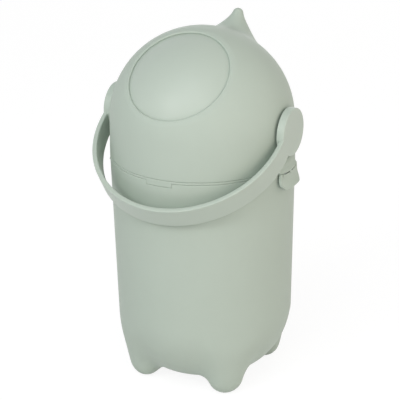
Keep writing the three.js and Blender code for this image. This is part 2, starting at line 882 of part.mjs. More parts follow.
function washer(side) {
  const bore = bushRadius + gap;
  const inner = hubFlat + gap;
  return solidOf(turnedOnHub([
    [bore, inner],
    [washerRadius, inner],
    [washerRadius, inner + washerThickness],
    [bore, inner + washerThickness],
    [bore, inner],
  ], bearingSteps, side));
}

// Side view of the clip's plate, which flares out at its lower end
function clipProfile() {
  const outer = rimRadius + bracketProud;
  const inner = outer - clipThickness;
  const top = clipAxisHeight - plateStart;
  const foot = top - clipLength;
  const bend = top - clipLength / 4;
  const tipX = outer + clipFlare;
  const tipRound = clipThickness / 2;
  return [
    [inner, top],
    [outer, top],
    [outer, bend],
    [outer + clipFlare / 3, bend - clipLength / 4],
    [tipX, foot + tipRound],
    [tipX - tipRound / 2, foot],
    [tipX - clipThickness + tipRound / 2, foot + tipRound / 4],
    [inner + clipFlare / 3, bend - clipLength / 4],
    [inner, bend],
  ];
}

// Side view of the nose inside the plate, which hooks under the catch bead
function noseProfile() {
  const root = rimRadius + bracketProud + (2 * clipFlare) / 3;
  const nose = clipAxisHeight - noseDrop;
  const tip = rimRadius + beadProud + gap + gap / 3;
  return [
    [tip, nose],
    [tip, nose - noseHeight / 2],
    [root, nose - noseHeight],
    [root, nose + noseHeight / 2],
  ];
}

// Front view of the clip: square at the hinge, round at the finger end
function clipOutline() {
  const half = clipWidth / 2;
  const top = clipAxisHeight + barrelRadius;
  const foot = clipAxisHeight - plateStart - clipLength;
  const middle = [half - clipCorner, foot + clipCorner];
  const right = arc(...middle, clipCorner, clipCorner, 0, -Math.PI / 2, cornerSteps);
  const left = right.map(([y, z]) => [-y, z]).reverse();
  const points = [[half, top], ...right, ...left, [-half, top]];
  const shape = new THREE.Shape(points.map(([y, z]) => new THREE.Vector2(y, z)));
  const depth = 2 * (bracketProud + clipFlare + overrun);
  const geometry = new THREE.ExtrudeGeometry(shape, { depth, bevelEnabled: false });
  return geometry.rotateX(Math.PI / 2).rotateZ(Math.PI / 2).translate(rimRadius - depth / 2, 0, 0);
}

// Barrel and web that carry the clip on its pin, inwards from the given distance
function clipKnuckle(side, start) {
  const [from, to] = side > 0 ? [start - knuckleWidth, start] : [-start, knuckleWidth - start];
  const link = plateStart + clipThickness / 2;
  const x = clipAxisRadius + barrelRadius / 2;
  const web = box(barrelRadius, to - from, link, x, (from + to) / 2, clipAxisHeight - link / 2);
  return clipRod(barrelRadius, from, to, legSteps).add(web);
}

function clip() {
  const half = clipWidth / 2;
  const start = half - endEarWidth - gap;
  let plate = atRightSide(clipProfile(), clipWidth).intersect(solidOf(clipOutline()));
  plate = plate.add(atRightSide(noseProfile(), noseWidth));
  for (const side of [leftSide, rightSide]) plate = plate.add(clipKnuckle(side, start));
  const earGap = barrelRadius + gap;
  plate = plate.subtract(clipRod(earGap, -centreEarWidth / 2 - gap, centreEarWidth / 2 + gap, legSteps));
  plate = plate.subtract(clipRod(earGap, start, half + overrun, legSteps));
  plate = plate.subtract(clipRod(earGap, -half - overrun, -start, legSteps));
  return plate.subtract(clipRod(clipPinRadius + gap, -half, half, pinSteps));
}

function clipPin() {
  return clipRod(clipPinRadius, -clipWidth / 2, clipWidth / 2, pinSteps);
}

const bin = new THREE.Group();
bin.position.y = frameShift;

function place(name, solid, colour, roughness, metalness) {
  const material = new THREE.MeshStandardMaterial({ color: colour, roughness, metalness });
  const mesh = new THREE.Mesh(geometryOf(solid.asOriginal().simplify(mergeTolerance)), material);
  mesh.name = name;
  bin.add(mesh);
}

place('body_shell', bodyShell(), sage, 0.5, 0);
place('bag_ring', bagRing(), sage, 0.5, 0);
place('dome_lid', domeLid(), sage, 0.5, 0);
place('rim_seal', rimSeal(), sealGrey, 0.8, 0);
place('opening_seal', openingSeal(), sealGrey, 0.8, 0);
place('ball_cover', ballCover(), sage, 0.5, 0);
place('ball_cup', ballCup(), sage, 0.5, 0);
place('handle', handle(), sage, 0.5, 0);

ballScrewSpots().forEach((spot, i) => place(`ball_screw_${i + 1}`, ballScrew(spot), steel, 0.35, 1));

const rightClip = clip();
const rightPin = clipPin();
for (const [name, side] of [['left', leftSide], ['right', rightSide]]) {
  place(`axle_${name}`, axle(side), sagePale, 0.6, 0);
  place(`axle_screw_${name}`, axleScrew(side), steel, 0.35, 1);
  place(`bush_${name}`, bush(side), sagePale, 0.6, 0);
  place(`washer_${name}`, washer(side), sagePale, 0.6, 0);
  place(`clip_${name}`, side > 0 ? rightClip : mirrored(rightClip), sage, 0.5, 0);
  place(`clip_pin_${name}`, side > 0 ? rightPin : mirrored(rightPin), steel, 0.35, 1);
}

export default bin;
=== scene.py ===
"""Looks of a free-standing nappy bin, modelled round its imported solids.

Lengths are in millimetres, measured upwards from the floor and outwards from the
body's axis. They become metres in the row frame when a mesh is finished.
"""

import json
import logging
import math
from dataclasses import dataclass, field
from enum import Enum
from typing import Callable, Iterable, Optional, Sequence, Union

import bmesh
import bpy
import numpy as np
from mathutils import Matrix, Vector


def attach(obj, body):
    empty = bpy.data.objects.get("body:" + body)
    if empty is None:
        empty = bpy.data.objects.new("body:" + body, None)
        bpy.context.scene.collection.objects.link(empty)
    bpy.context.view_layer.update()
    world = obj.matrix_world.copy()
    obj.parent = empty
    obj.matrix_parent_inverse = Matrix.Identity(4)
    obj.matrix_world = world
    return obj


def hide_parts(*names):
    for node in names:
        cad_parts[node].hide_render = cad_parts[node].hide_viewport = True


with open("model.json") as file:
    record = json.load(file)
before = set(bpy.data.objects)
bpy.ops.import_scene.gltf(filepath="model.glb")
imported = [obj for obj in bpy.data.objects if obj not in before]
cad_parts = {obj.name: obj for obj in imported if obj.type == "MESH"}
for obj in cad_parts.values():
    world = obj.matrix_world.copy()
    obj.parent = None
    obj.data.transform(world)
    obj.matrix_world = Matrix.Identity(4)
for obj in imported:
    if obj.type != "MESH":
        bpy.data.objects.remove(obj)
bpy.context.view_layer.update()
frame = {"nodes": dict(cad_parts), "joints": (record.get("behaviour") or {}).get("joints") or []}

log = logging.getLogger("nappy_bin")

MM = 0.001
JOINTS = {joint["name"]: joint for joint in frame["joints"]}
HUB_M = JOINTS["handle_turn"]["pos_m"]
AXIS_Y = HUB_M[1] / MM
HUB_HEIGHT = HUB_M[2] / MM
HUB = np.array([0.0, 0.0, HUB_HEIGHT])
SIDES = {"right": 1.0, "left": -1.0}

Array = np.ndarray
Point = tuple[float, float]
Place = tuple[float, float, float]
Outline = Sequence[Point]
Corners = Sequence[tuple[float, ...]]
Field = Callable[[Array], Array]
Piece = bpy.types.Object
Node = bpy.types.Node
Socket = bpy.types.NodeSocket
Settings = dict[str, object]
Sockets = dict[Union[str, int], object]
Material = bpy.types.Material

ORIGIN: Place = (0.0, 0.0, 0.0)
CREASE = 38.0
FINE_CREASE = 30.0
FULL_TURN = 2 * math.pi


# Geometry helpers


def unit(vector: Sequence[float]) -> Array:
    """Returns the vector with length one."""
    found = np.asarray(vector, float)
    return found / np.linalg.norm(found)


def circle_angles(count: int) -> Array:
    """Returns evenly spaced angles of a full turn, without the repeated end."""
    return np.arange(count) * (FULL_TURN / count)


def arc(centre: Point, radius: float, start: float, end: float, steps: int) -> list[Point]:
    """Points of a circular arc in a flat outline.

    Args:
        centre: The arc's centre.
        radius: Its radius.
        start: First angle in degrees.
        end: Last angle in degrees.
        steps: Number of chords.

    Returns:
        The points from the first angle to the last.
    """
    angles = np.radians(np.linspace(start, end, steps + 1))
    return [(centre[0] + radius * math.cos(a), centre[1] + radius * math.sin(a)) for a in angles]


def held(value: float) -> float:
    """Returns a number kept between 0 and 1."""
    return min(max(value, 0.0), 1.0)


def plug(radius: float, low: float, high: float) -> list[Point]:
    """Returns the outline of a plain round plug between two heights."""
    return [(0, low), (radius, low), (radius, high), (0, high)]


def between(start: Point, end: Point, shares: Iterable[float]) -> list[Point]:
    """Returns points of a straight line, at shares of its length."""
    return [(start[0] + (end[0] - start[0]) * t, start[1] + (end[1] - start[1]) * t) for t in shares]


def soften(corners: Corners, closed: bool = True, steps: int = 4,
           support: float = 0.7) -> list[Point]:
    """Rounds the corners of an outline.

    Args:
        corners: Points (a, b) or (a, b, radius) of the outline.
        closed: Whether the last point joins the first.
        steps: Chords in each rounded corner.
        support: Distance of the extra points that keep long faces flat.

    Returns:
        The points of the rounded outline.
    """
    points = [np.array(corner[:2], float) for corner in corners]
    found: list[Point] = []
    for i, corner in enumerate(corners):
        here = points[i]
        radius = corner[2] if len(corner) > 2 else 0.0
        if not radius or (not closed and i in (0, len(corners) - 1)):
            found.append((here[0], here[1]))
            continue
        back = points[i - 1] - here
        ahead = points[(i + 1) % len(points)] - here
        back_length, ahead_length = np.linalg.norm(back), np.linalg.norm(ahead)
        back, ahead = back / back_length, ahead / ahead_length
        half = math.acos(float(np.clip(back @ ahead, -1, 1))) / 2
        reach = min(radius / math.tan(half), 0.47 * back_length, 0.47 * ahead_length)
        if support:
            found.append(tuple(here + back * (reach + min(support, 0.3 * (back_length - 2 * reach)))))
        for k in range(steps + 1):
            t = k / steps
            found.append(tuple(here + back * reach * (1 - t) ** 2 + ahead * reach * t ** 2))
        if support:
            found.append(tuple(here + ahead * (reach + min(support, 0.3 * (ahead_length - 2 * reach)))))
    return found


@dataclass(frozen=True)
class Axis:
    """A place and two directions, round which profiles are turned."""

    origin: Sequence[float]
    along: Sequence[float]
    side: Sequence[float]

    def directions(self) -> tuple[Array, Array, Array]:
        """Returns the unit vectors along the axis, to its side and square to both."""
        along, side = unit(self.along), unit(self.side)
        return along, side, np.cross(along, side)

    def points(self, profile: Outline, angles: Array) -> Array:
        """Turns a profile round the axis.

        Args:
            profile: Points (radius, height along the axis).
            angles: Angles of the columns, from the side direction.

        Returns:
            An array of rows, columns and coordinates.
        """
        along, side, other = self.directions()
        outline = np.asarray(profile, float)
        ring = np.cos(angles)[:, None] * side + np.sin(angles)[:, None] * other
        turned = outline[:, 0][:, None, None] * ring[None]
        return turned + outline[:, 1][:, None, None] * along + np.asarray(self.origin, float)

    def turn_of(self, points: Array) -> Array:
        """Finds how far points are turned round the axis.

        Args:
            points: The points.

        Returns:
            Their angles, from the side direction.
        """
        _, side, other = self.directions()
        apart = points - np.asarray(self.origin, float)
        return np.arctan2(apart @ other, apart @ side)

    def placing(self) -> Matrix:
        """Where a pattern's own frame, Z along the axis and X to its side, stands in the row frame.

        Returns:
            The placing matrix, in metres.
        """
        along, side, other = self.directions()
        place = (np.asarray(self.origin, float) + np.array([0, AXIS_Y, 0])) * MM
        return Matrix([[side[k], other[k], along[k], place[k]] for k in range(3)] + [[0, 0, 0, 1]])


UPRIGHT = Axis(ORIGIN, (0, 0, 1), (1, 0, 0))


class Draft:
    """Points and faces of one piece while it is being modelled."""

    def __init__(self) -> None:
        """Starts an empty draft."""
        self.blocks: list[Array] = []
        self.faces: list[tuple[int, ...]] = []
        self.count = 0

    def add(self, points: Array) -> Array:
        """Adds points.

        Args:
            points: Coordinates, in any arrangement of rows and columns.

        Returns:
            The numbers of the points, in the same arrangement.
        """
        flat = np.asarray(points, float).reshape(-1, 3)
        numbers = np.arange(self.count, self.count + len(flat)).reshape(np.shape(points)[:-1])
        self.blocks.append(flat)
        self.count += len(flat)
        return numbers

    def grid(self, numbers: Array, wrap_rows: bool = False, wrap_columns: bool = True,
             dropped: Optional[Array] = None) -> None:
        """Adds the four-sided faces between neighbouring rows and columns.

        Args:
            numbers: Point numbers in rows and columns.
            wrap_rows: Whether the last row joins the first.
            wrap_columns: Whether the last column joins the first.
            dropped: Marks points; faces that touch one are left out.
        """
        rows, columns = numbers.shape
        down = np.arange(rows if wrap_rows else rows - 1)
        across = np.arange(columns if wrap_columns else columns - 1)
        i, j = np.meshgrid(down, across, indexing="ij")
        k, m = (i + 1) % rows, (j + 1) % columns
        quads = np.stack([numbers[i, j], numbers[i, m], numbers[k, m], numbers[k, j]], -1)
        if dropped is not None:
            quads = quads[~(dropped[i, j] | dropped[i, m] | dropped[k, m] | dropped[k, j])]
        self.faces.extend(map(tuple, quads.reshape(-1, 4).tolist()))

    def cap(self, ring: Iterable[int]) -> None:
        """Closes a flat end with one face."""
        self.faces.append(tuple(int(number) for number in ring))

    def bar(self, sections: Sequence[Sequence[Sequence[float]]]) -> None:
        """Adds a bar from its sections, with a flat face at each end.

        Args:
            sections: The points of each section, in order along the bar.
        """
        numbers = self.add(np.array(sections).transpose(1, 0, 2))
        self.grid(numbers, wrap_rows=True, wrap_columns=False)
        self.cap(numbers[:, 0])
        self.cap(numbers[:, -1])

    def coordinates(self) -> Array:
        """Returns all points as one array."""
        return np.concatenate(self.blocks)

    def open_loops(self) -> list[list[int]]:
        """Follows the edges that belong to one face only.

        Returns:
            The loops of point numbers round each hole.
        """
        used: dict[tuple[int, int], int] = {}
        for face in self.faces:
            for a, b in zip(face, face[1:] + face[:1]):
                key = (min(a, b), max(a, b))
                used[key] = used.get(key, 0) + 1
        near: dict[int, list[int]] = {}
        for (a, b), times in used.items():
            if times == 1:
                near.setdefault(a, []).append(b)
                near.setdefault(b, []).append(a)
        loops = []
        while near:
            start = next(iter(near))
            loop, here, last = [start], start, -1
            while True:
                onward = [n for n in near.get(here, []) if n != last]
                if not onward:
                    break
                following = onward[0]
                if following == start:
                    break
                loop.append(following)
                last, here = here, following
                if len(loop) > len(near) + 1:
                    break
            for number in loop:
                near.pop(number, None)
            loops.append(loop)
        return loops

    def zip_rings(self, first: Sequence[int], second: Sequence[int], axis: Axis) -> None:
        """Joins two rings of points that face each other with triangles.

        Args:
            first: Point numbers of one ring, in order round it.
            second: Point numbers of the other ring.
            axis: The rings' common axis.
        """
        points = self.coordinates()
        rings = []
        for ring in (first, second):
            numbers = np.asarray(ring)
            angles = np.unwrap(axis.turn_of(points[numbers]))
            if angles[-1] < angles[0]:
                numbers, angles = numbers[::-1], np.unwrap(axis.turn_of(points[numbers[::-1]]))
            numbers = np.roll(numbers, -int(np.argmin(np.mod(angles, FULL_TURN))))
            angles = np.unwrap(axis.turn_of(points[numbers]))
            angles = angles - FULL_TURN * math.floor(angles[0] / FULL_TURN)
            rings.append(([*numbers.tolist(), int(numbers[0])], [*angles.tolist(), angles[0] + FULL_TURN]))
        (a, angle_a), (b, angle_b) = rings
        i = j = 0
        while i < len(a) - 1 or j < len(b) - 1:
            if j == len(b) - 1 or (i < len(a) - 1 and angle_a[i + 1] <= angle_b[j + 1]):
                self.faces.append((a[i], a[i + 1], b[j]))
                i += 1
            else:
                self.faces.append((a[i], b[j + 1], b[j]))
                j += 1

    def finish(self, name: str, sharp: float = CREASE) -> Piece:
        """Makes the piece's object, closed, facing outwards and in place.

        Args:
            name: The piece's name.
            sharp: Edges that turn by more than this many degrees stay crisp.

        Returns:
            The new object.
        """
        placed = (self.coordinates() + np.array([0.0, AXIS_Y, 0.0])) * MM
        mesh = bpy.data.meshes.new(name)
        mesh.from_pydata(placed.tolist(), [], self.faces)
        shape = bmesh.new()
        shape.from_mesh(mesh)
        bmesh.ops.remove_doubles(shape, verts=shape.verts, dist=2e-6)
        bmesh.ops.dissolve_degenerate(shape, edges=shape.edges, dist=1e-7)
        loose = [vertex for vertex in shape.verts if not vertex.link_faces]
        bmesh.ops.delete(shape, geom=loose, context="VERTS")
        bmesh.ops.recalc_face_normals(shape, faces=shape.faces)
        shape.to_mesh(mesh)
        shape.free()
        piece = bpy.data.objects.new(name, mesh)
        bpy.context.scene.collection.objects.link(piece)
        smooth(piece, sharp)
        return piece


def border(numbers: Array) -> Array:
    """Returns the point numbers round the edge of rows and columns."""
    return np.concatenate([numbers[0, :], numbers[1:, -1], numbers[-1, -2::-1], numbers[-2:0:-1, 0]])


def smooth(piece: Piece, sharp: float) -> None:
    """Shades a piece smooth apart from its crisp edges.

    Args:
        piece: The object.
        sharp: Edges that turn by more than this many degrees stay crisp.
    """
    piece.data.shade_smooth()
    piece.data.set_sharp_from_angle(angle=math.radians(sharp))


def settle(piece: Piece) -> Piece:
    """Turns the result of a piece's modifiers into its plain mesh.

    Args:
        piece: The object.

    Returns:
        The same object, without modifiers.
    """
    graph = bpy.context.evaluated_depsgraph_get()
    mesh = bpy.data.meshes.new_from_object(piece.evaluated_get(graph))
    mesh.name = piece.name
    piece.modifiers.clear()
    piece.data = mesh
    return piece


class Cut(Enum):
    """How two solids are put together."""

    JOIN = "UNION"
    TAKE = "DIFFERENCE"
    KEEP = "INTERSECT"


def carve(piece: Piece, tool: Piece, cut: Cut) -> Piece:
    """Changes a solid by another one, which is used up.

    Args:
        piece: The solid that is changed.
        tool: The other solid.
        cut: How they are put together.

    Returns:
        The changed solid.
    """
    modifier = piece.modifiers.new("cut", "BOOLEAN")
    modifier.operation = cut.value
    modifier.solver = "MANIFOLD"
    modifier.object = tool
    bpy.context.view_layer.update()
    graph = bpy.context.evaluated_depsgraph_get()
    if not len(piece.evaluated_get(graph).data.polygons):
        modifier.solver = "EXACT"
        log.info("%s needs the exact solver", piece.name)
    settle(piece)
    bpy.data.objects.remove(tool)
    return piece


def flat_normals(piece: Piece) -> Piece:
    """Keeps large faces flat in their shading, beside rounded edges.

    Args:
        piece: The object.

    Returns:
        The same object with its own normals.
    """
    modifier = piece.modifiers.new("normals", "WEIGHTED_NORMAL")
    modifier.keep_sharp = True
    modifier.weight = 90
    bpy.context.view_layer.update()
    return settle(piece)


def rod(axis: Axis, profile: Outline, around: int, name: str = "tool") -> Piece:
    """A turned solid whose profile starts and ends on the axis, or closes on itself.

    Args:
        axis: The axis that it is turned round.
        profile: Points (radius, height).
        around: Number of columns.
        name: The object's name.

    Returns:
        The solid.
    """
    draft = Draft()
    on_axis = profile[0][0] == 0 and profile[-1][0] == 0
    draft.grid(draft.add(axis.points(profile, circle_angles(around))), wrap_rows=not on_axis)
    return draft.finish(name)


def brick(low: Sequence[float], high: Sequence[float], turn: float = 0.0) -> Piece:
    """A block, turned round the hub axis.

    Args:
        low: Its lowest corner.
        high: Its highest corner.
        turn: Angle in radians round the hub axis.

    Returns:
        The solid.
    """
    corners = np.array([[(low, high)[i][0], (low, high)[j][1], (low, high)[k][2]]
                        for i in (0, 1) for j in (0, 1) for k in (0, 1)], float)
    y, z = corners[:, 1].copy(), corners[:, 2] - HUB_HEIGHT
    corners[:, 1] = y * math.cos(turn) - z * math.sin(turn)
    corners[:, 2] = y * math.sin(turn) + z * math.cos(turn) + HUB_HEIGHT
    draft = Draft()
    draft.add(corners)
    draft.faces = [(0, 1, 3, 2), (4, 6, 7, 5), (0, 4, 5, 1), (2, 3, 7, 6), (0, 2, 6, 4), (1, 5, 7, 3)]
    return draft.finish("tool")


# Soft blended forms


def blended(first: Array, second: Array, width: float) -> Array:
    """Joins two distance fields with a soft fillet.

    Args:
        first: Distances from one form.
        second: Distances from the other.
        width: Width of the fillet.

    Returns:
        Distances from the joined form.
    """
    share = np.clip(0.5 + 0.5 * (second - first) / width, 0, 1)
    return second + (first - second) * share - width * share * (1 - share)


def slopes(shape: Field, points: Array) -> Array:
    """Measures how a distance field rises at some points.

    Args:
        shape: The distance field.
        points: The points.

    Returns:
        The field's gradient at each point.
    """
    step = 0.05
    found = np.empty_like(points)
    for k in range(3):
        shift = np.zeros(3)
        shift[k] = step
        found[:, k] = (shape(points + shift) - shape(points - shift)) / (2 * step)
    return found


def outward(shape: Field, points: Array) -> Array:
    """Returns the unit vectors that point out of a distance field's surface."""
    found = slopes(shape, points)
    return found / np.linalg.norm(found, axis=1)[:, None]


def drawn_to(shape: Field, points: Array, rounds: int = 4, most: float = 4.0) -> Array:
    """Moves points on to the surface of a field.

    Args:
        shape: The distance field.
        points: The points.
        rounds: Number of steps.
        most: Longest step.

    Returns:
        The moved points.
    """
    found = points.copy()
    for _ in range(rounds):
        slope = slopes(shape, found)
        value = shape(found)
        square = np.maximum((slope ** 2).sum(1), 1e-6)
        move = -(value / square)[:, None] * slope
        length = np.maximum(np.linalg.norm(move, axis=1), 1e-9)
        found += move * np.minimum(1, most / length)[:, None]
    return found


def surface_net(shape: Field, low: Sequence[float], high: Sequence[float],
                cell: float) -> tuple[Array, Array]:
    """Finds the surface of a distance field as four-sided faces.

    Args:
        shape: The distance field.
        low: Lowest corner of the searched block.
        high: Highest corner of the searched block.
        cell: Side of one cell.

    Returns:
        The points, and the faces as rows of four point numbers.
    """
    low = np.asarray(low, float)
    counts = np.ceil((np.asarray(high, float) - low) / cell).astype(int) + 1
    axes = [low[k] + cell * np.arange(counts[k]) for k in range(3)]
    lattice = np.stack(np.meshgrid(*axes, indexing="ij"), -1)
    values = shape(lattice.reshape(-1, 3)).reshape(counts)
    cells = counts - 1
    total = np.zeros((*cells, 3))
    hits = np.zeros(cells)
    quads = []
    for k in range(3):
        start = np.take(values, range(counts[k] - 1), k)
        end = np.take(values, range(1, counts[k]), k)
        places = np.argwhere((start < 0) != (end < 0))
        before, after = start[tuple(places.T)], end[tuple(places.T)]
        spots = low + cell * places
        spots[:, k] += cell * before / (before - after)
        a, b = [n for n in range(3) if n != k]
        round_edge = []
        for da, db in ((0, 0), (-1, 0), (-1, -1), (0, -1)):
            near = places.copy()
            near[:, a] += da
            near[:, b] += db
            inside = ((near >= 0) & (near < cells)).all(1)
            chosen = near[inside]
            np.add.at(total, tuple(chosen.T), spots[inside])
            np.add.at(hits, tuple(chosen.T), 1)
            flat = np.full(len(near), -1)
            flat[inside] = np.ravel_multi_index(tuple(chosen.T), cells)
            round_edge.append(flat)
        quad = np.stack(round_edge, 1)
        quads.append(quad[(quad >= 0).all(1)])
    faces = np.concatenate(quads)
    used, numbered = np.unique(faces, return_inverse=True)
    points = (total.reshape(-1, 3)[used]) / hits.reshape(-1)[used][:, None]
    return points, numbered.reshape(-1, 4)


def evened(shape: Field, points: Array, faces: Array, fixed: Array, rounds: int) -> Array:
    """Spreads the points of a net evenly over its surface.

    Args:
        shape: The distance field.
        points: The net's points.
        faces: Its four-sided faces.
        fixed: Marks the points that stay.
        rounds: Number of passes.

    Returns:
        The moved points.
    """
    pairs = np.concatenate([faces[:, [i, (i + 1) % 4]] for i in range(4)])
    pairs = np.concatenate([pairs, pairs[:, ::-1]])
    found = points.copy()
    number = np.bincount(pairs[:, 0], minlength=len(points))[:, None]
    for _ in range(rounds):
        total = np.zeros_like(found)
        np.add.at(total, pairs[:, 0], found[pairs[:, 1]])
        moved = 0.5 * found + 0.5 * total / np.maximum(number, 1)
        moved = drawn_to(shape, moved, rounds=2)
        found = np.where(fixed[:, None], found, moved)
    return found


# Node trees


class Maths:
    """A number socket of a node tree that can be used in an expression."""

    def __init__(self, tree: "Tree", socket: Socket) -> None:
        """Wraps a socket.

        Args:
            tree: The tree that the socket belongs to.
            socket: The socket.
        """
        self.tree = tree
        self.socket = socket

    def _with(self, operation: str, first: object, second: object) -> "Maths":
        """Adds one Math node.

        Args:
            operation: The node's operation.
            first: A number or expression.
            second: A number or expression.

        Returns:
            The node's result as an expression.
        """
        return self.tree.value("ShaderNodeMath", {"operation": operation}, {0: first, 1: second})

    def __add__(self, other: object) -> "Maths":
        """Returns self plus other."""
        return self._with("ADD", self, other)

    def __mul__(self, other: object) -> "Maths":
        """Returns self times other."""
        return self._with("MULTIPLY", self, other)

    def __truediv__(self, other: object) -> "Maths":
        """Returns self divided by other."""
        return self._with("DIVIDE", self, other)

    def __rtruediv__(self, other: object) -> "Maths":
        """Returns other divided by self."""
        return self._with("DIVIDE", other, self)

    def most(self, other: object) -> "Maths":
        """Returns the larger of self and other."""
        return self._with("MAXIMUM", self, other)

    __radd__ = __add__
    __rmul__ = __mul__


class Tree:
    """A node tree, whose nodes all come from one method."""

    def __init__(self, tree: bpy.types.NodeTree) -> None:
        """Keeps the tree, emptied."""
        self.tree = tree
        tree.nodes.clear()

    def node(self, kind: str, settings: Settings, sockets: Sockets) -> Node:
        """Adds a node.

        Args:
            kind: The node's type.
            settings: Its own settings, set first. Ramp stops go under "stops".
            sockets: Values or links of its input sockets, a list for several links.

        Returns:
            The new node.
        """
        made = self.tree.nodes.new(kind)
        for key, setting in settings.items():
            if key == "stops":
                for element, (place, colour) in zip(made.color_ramp.elements, setting):
                    element.position, element.color = place, colour
            else:
                setattr(made, key, setting)
        for key, given in sockets.items():
            for one in given if isinstance(given, list) else [given]:
                link = one.socket if isinstance(one, Maths) else one
                if isinstance(link, Socket):
                    self.tree.links.new(link, made.inputs[key])
                else:
                    made.inputs[key].default_value = link
        return made

    def value(self, kind: str, settings: Settings, sockets: Sockets,
              output: Union[str, int] = 0) -> Maths:
        """Adds a node and wraps one of its outputs.

        Args:
            kind: The node's type.
            settings: Its own settings.
            sockets: Values or links of its input sockets.
            output: The output that is used.

        Returns:
            The output as an expression.
        """
        return Maths(self, self.node(kind, settings, sockets).outputs[output])

    def background(self) -> Maths:
        """Finds the rays that show the background, straight, mirrored or through glass.

        Returns:
            1 for these rays and 0 for those that light the object.
        """
        path = self.node("ShaderNodeLightPath", {}, {})
        camera, glossy, through = [Maths(self, path.outputs[f"Is {kind} Ray"])
                                   for kind in ("Camera", "Glossy", "Transmission")]
        return camera.most(glossy).most(through)


class Graph(Tree):
    """The shader tree of one material."""

    def __init__(self, name: str) -> None:
        """Makes an empty material.

        Args:
            name: The material's name.
        """
        self.material = bpy.data.materials.new(name)
        self.material.use_nodes = True
        super().__init__(self.material.node_tree)

    def noise(self, scale: float, detail: float = 2.0, roughness: float = 0.5) -> Maths:
        """A noise between 0 and 1 on the object's own coordinates.

        Args:
            scale: Features per metre, about.
            detail: Number of finer layers.
            roughness: Strength of the finer layers.

        Returns:
            The noise as an expression.
        """
        place = self.node("ShaderNodeTexCoord", {}, {}).outputs["Object"]
        sockets = {"Vector": place, "Scale": scale, "Detail": detail, "Roughness": roughness}
        return self.value("ShaderNodeTexNoise", {"noise_dimensions": "3D"}, sockets, "Fac")

    def mixed(self, share: Maths, low: tuple[float, ...], high: tuple[float, ...]) -> Socket:
        """Mixes two colours.

        Args:
            share: 0 gives the first colour and 1 the second.
            low: First colour, linear.
            high: Second colour, linear.

        Returns:
            The mixed colour's socket.
        """
        stops = [(0.0, (*low, 1.0)), (1.0, (*high, 1.0))]
        return self.node("ShaderNodeValToRGB", {"stops": stops}, {"Fac": share}).outputs["Color"]

    def bump(self, height: Maths, strength: float, distance: float,
             before: Optional[Socket] = None) -> Socket:
        """Turns heights into a fine relief.

        Args:
            height: The relief's height, 0 to 1.
            strength: How much of it shows.
            distance: Its full height in metres.
            before: Normal of a coarser relief below it.

        Returns:
            The normal's socket.
        """
        sockets: Sockets = {"Strength": strength, "Distance": distance, "Height": height}
        if before is not None:
            sockets["Normal"] = before
        return self.node("ShaderNodeBump", {}, sockets).outputs["Normal"]

    def surface(self, shader: Node) -> Material:
        """Ends the tree in a shader.

        Args:
            shader: The last shader node.

        Returns:
            The finished material.
        """
        self.node("ShaderNodeOutputMaterial", {}, {"Surface": shader.outputs[0]})
        return self.material


def linear(colour: Sequence[float]) -> Place:
    """Returns a colour written as it is seen, 0 to 1, as linear values."""
    return tuple(c / 12.92 if c <= 0.04045 else ((c + 0.055) / 1.055) ** 2.4 for c in colour)


def shaded(colour: Sequence[float], factor: float) -> Place:
    """Returns a colour made darker or lighter, in linear values."""
    return tuple(min(1.0, c * factor) for c in linear(colour))


@dataclass(frozen=True)
class PlasticFinish:
    """Satin moulded plastic with a fine grain and a faint, wide unevenness of colour."""

    name: str
    colour: Place
    roughness: float = 0.4
    spread: float = 0.02
    grain: float = 0.00002
    grain_strength: float = 0.55
    grain_scale: float = 900.0
    cloud_scale: float = 60.0
    wide_scale: float = 9.0
    wave: float = 0.00012
    wave_strength: float = 0.25
    wave_scale: float = 28.0
    gloss: float = 0.18
    index: float = 1.49
    slot: str = "shell"

    def build(self) -> Material:
        """Builds the shader tree.

        Returns:
            The finished material.
        """
        graph = Graph(self.name)
        wide = graph.noise(self.wide_scale)
        cloudy = graph.noise(self.cloud_scale, detail=3.0, roughness=0.6)
        fine = graph.noise(self.grain_scale, roughness=0.7)
        share = wide * 0.5 + cloudy * 0.35 + fine * 0.15
        dark, light = (shaded(self.colour, 1 + end * self.spread) for end in (-2, 2))
        colour = graph.mixed(share, dark, light)
        rough = cloudy * 0.08 + fine * 0.05 + (self.roughness - 0.065)
        soft = graph.bump(graph.noise(self.wave_scale, detail=1.0), self.wave_strength, self.wave)
        normal = graph.bump(fine, self.grain_strength, self.grain, soft)
        shader = graph.node("ShaderNodeBsdfPrincipled", {}, {
            "Base Color": colour, "Roughness": rough, "IOR": self.index, "Normal": normal,
            "Specular IOR Level": self.gloss})
        return graph.surface(shader)


@dataclass(frozen=True)
class RubberFinish:
    """Soft matt rubber with a dusty bloom."""

    name: str
    colour: Place
    roughness: float = 0.62
    bloom_scale: float = 140.0
    grain: float = 0.00004
    grain_strength: float = 0.6
    grain_scale: float = 1500.0
    index: float = 1.5
    slot: str = "seal"

    def build(self) -> Material:
        """Builds the shader tree.

        Returns:
            The finished material.
        """
        graph = Graph(self.name)
        bloom = graph.noise(self.bloom_scale, detail=4.0, roughness=0.65)
        fine = graph.noise(self.grain_scale)
        colour = graph.mixed(bloom, shaded(self.colour, 0.86), shaded(self.colour, 1.12))
        shader = graph.node("ShaderNodeBsdfPrincipled", {}, {
            "Base Color": colour, "Roughness": bloom * 0.15 + self.roughness, "IOR": self.index,
            "Normal": graph.bump(fine, self.grain_strength, self.grain)})
        return graph.surface(shader)


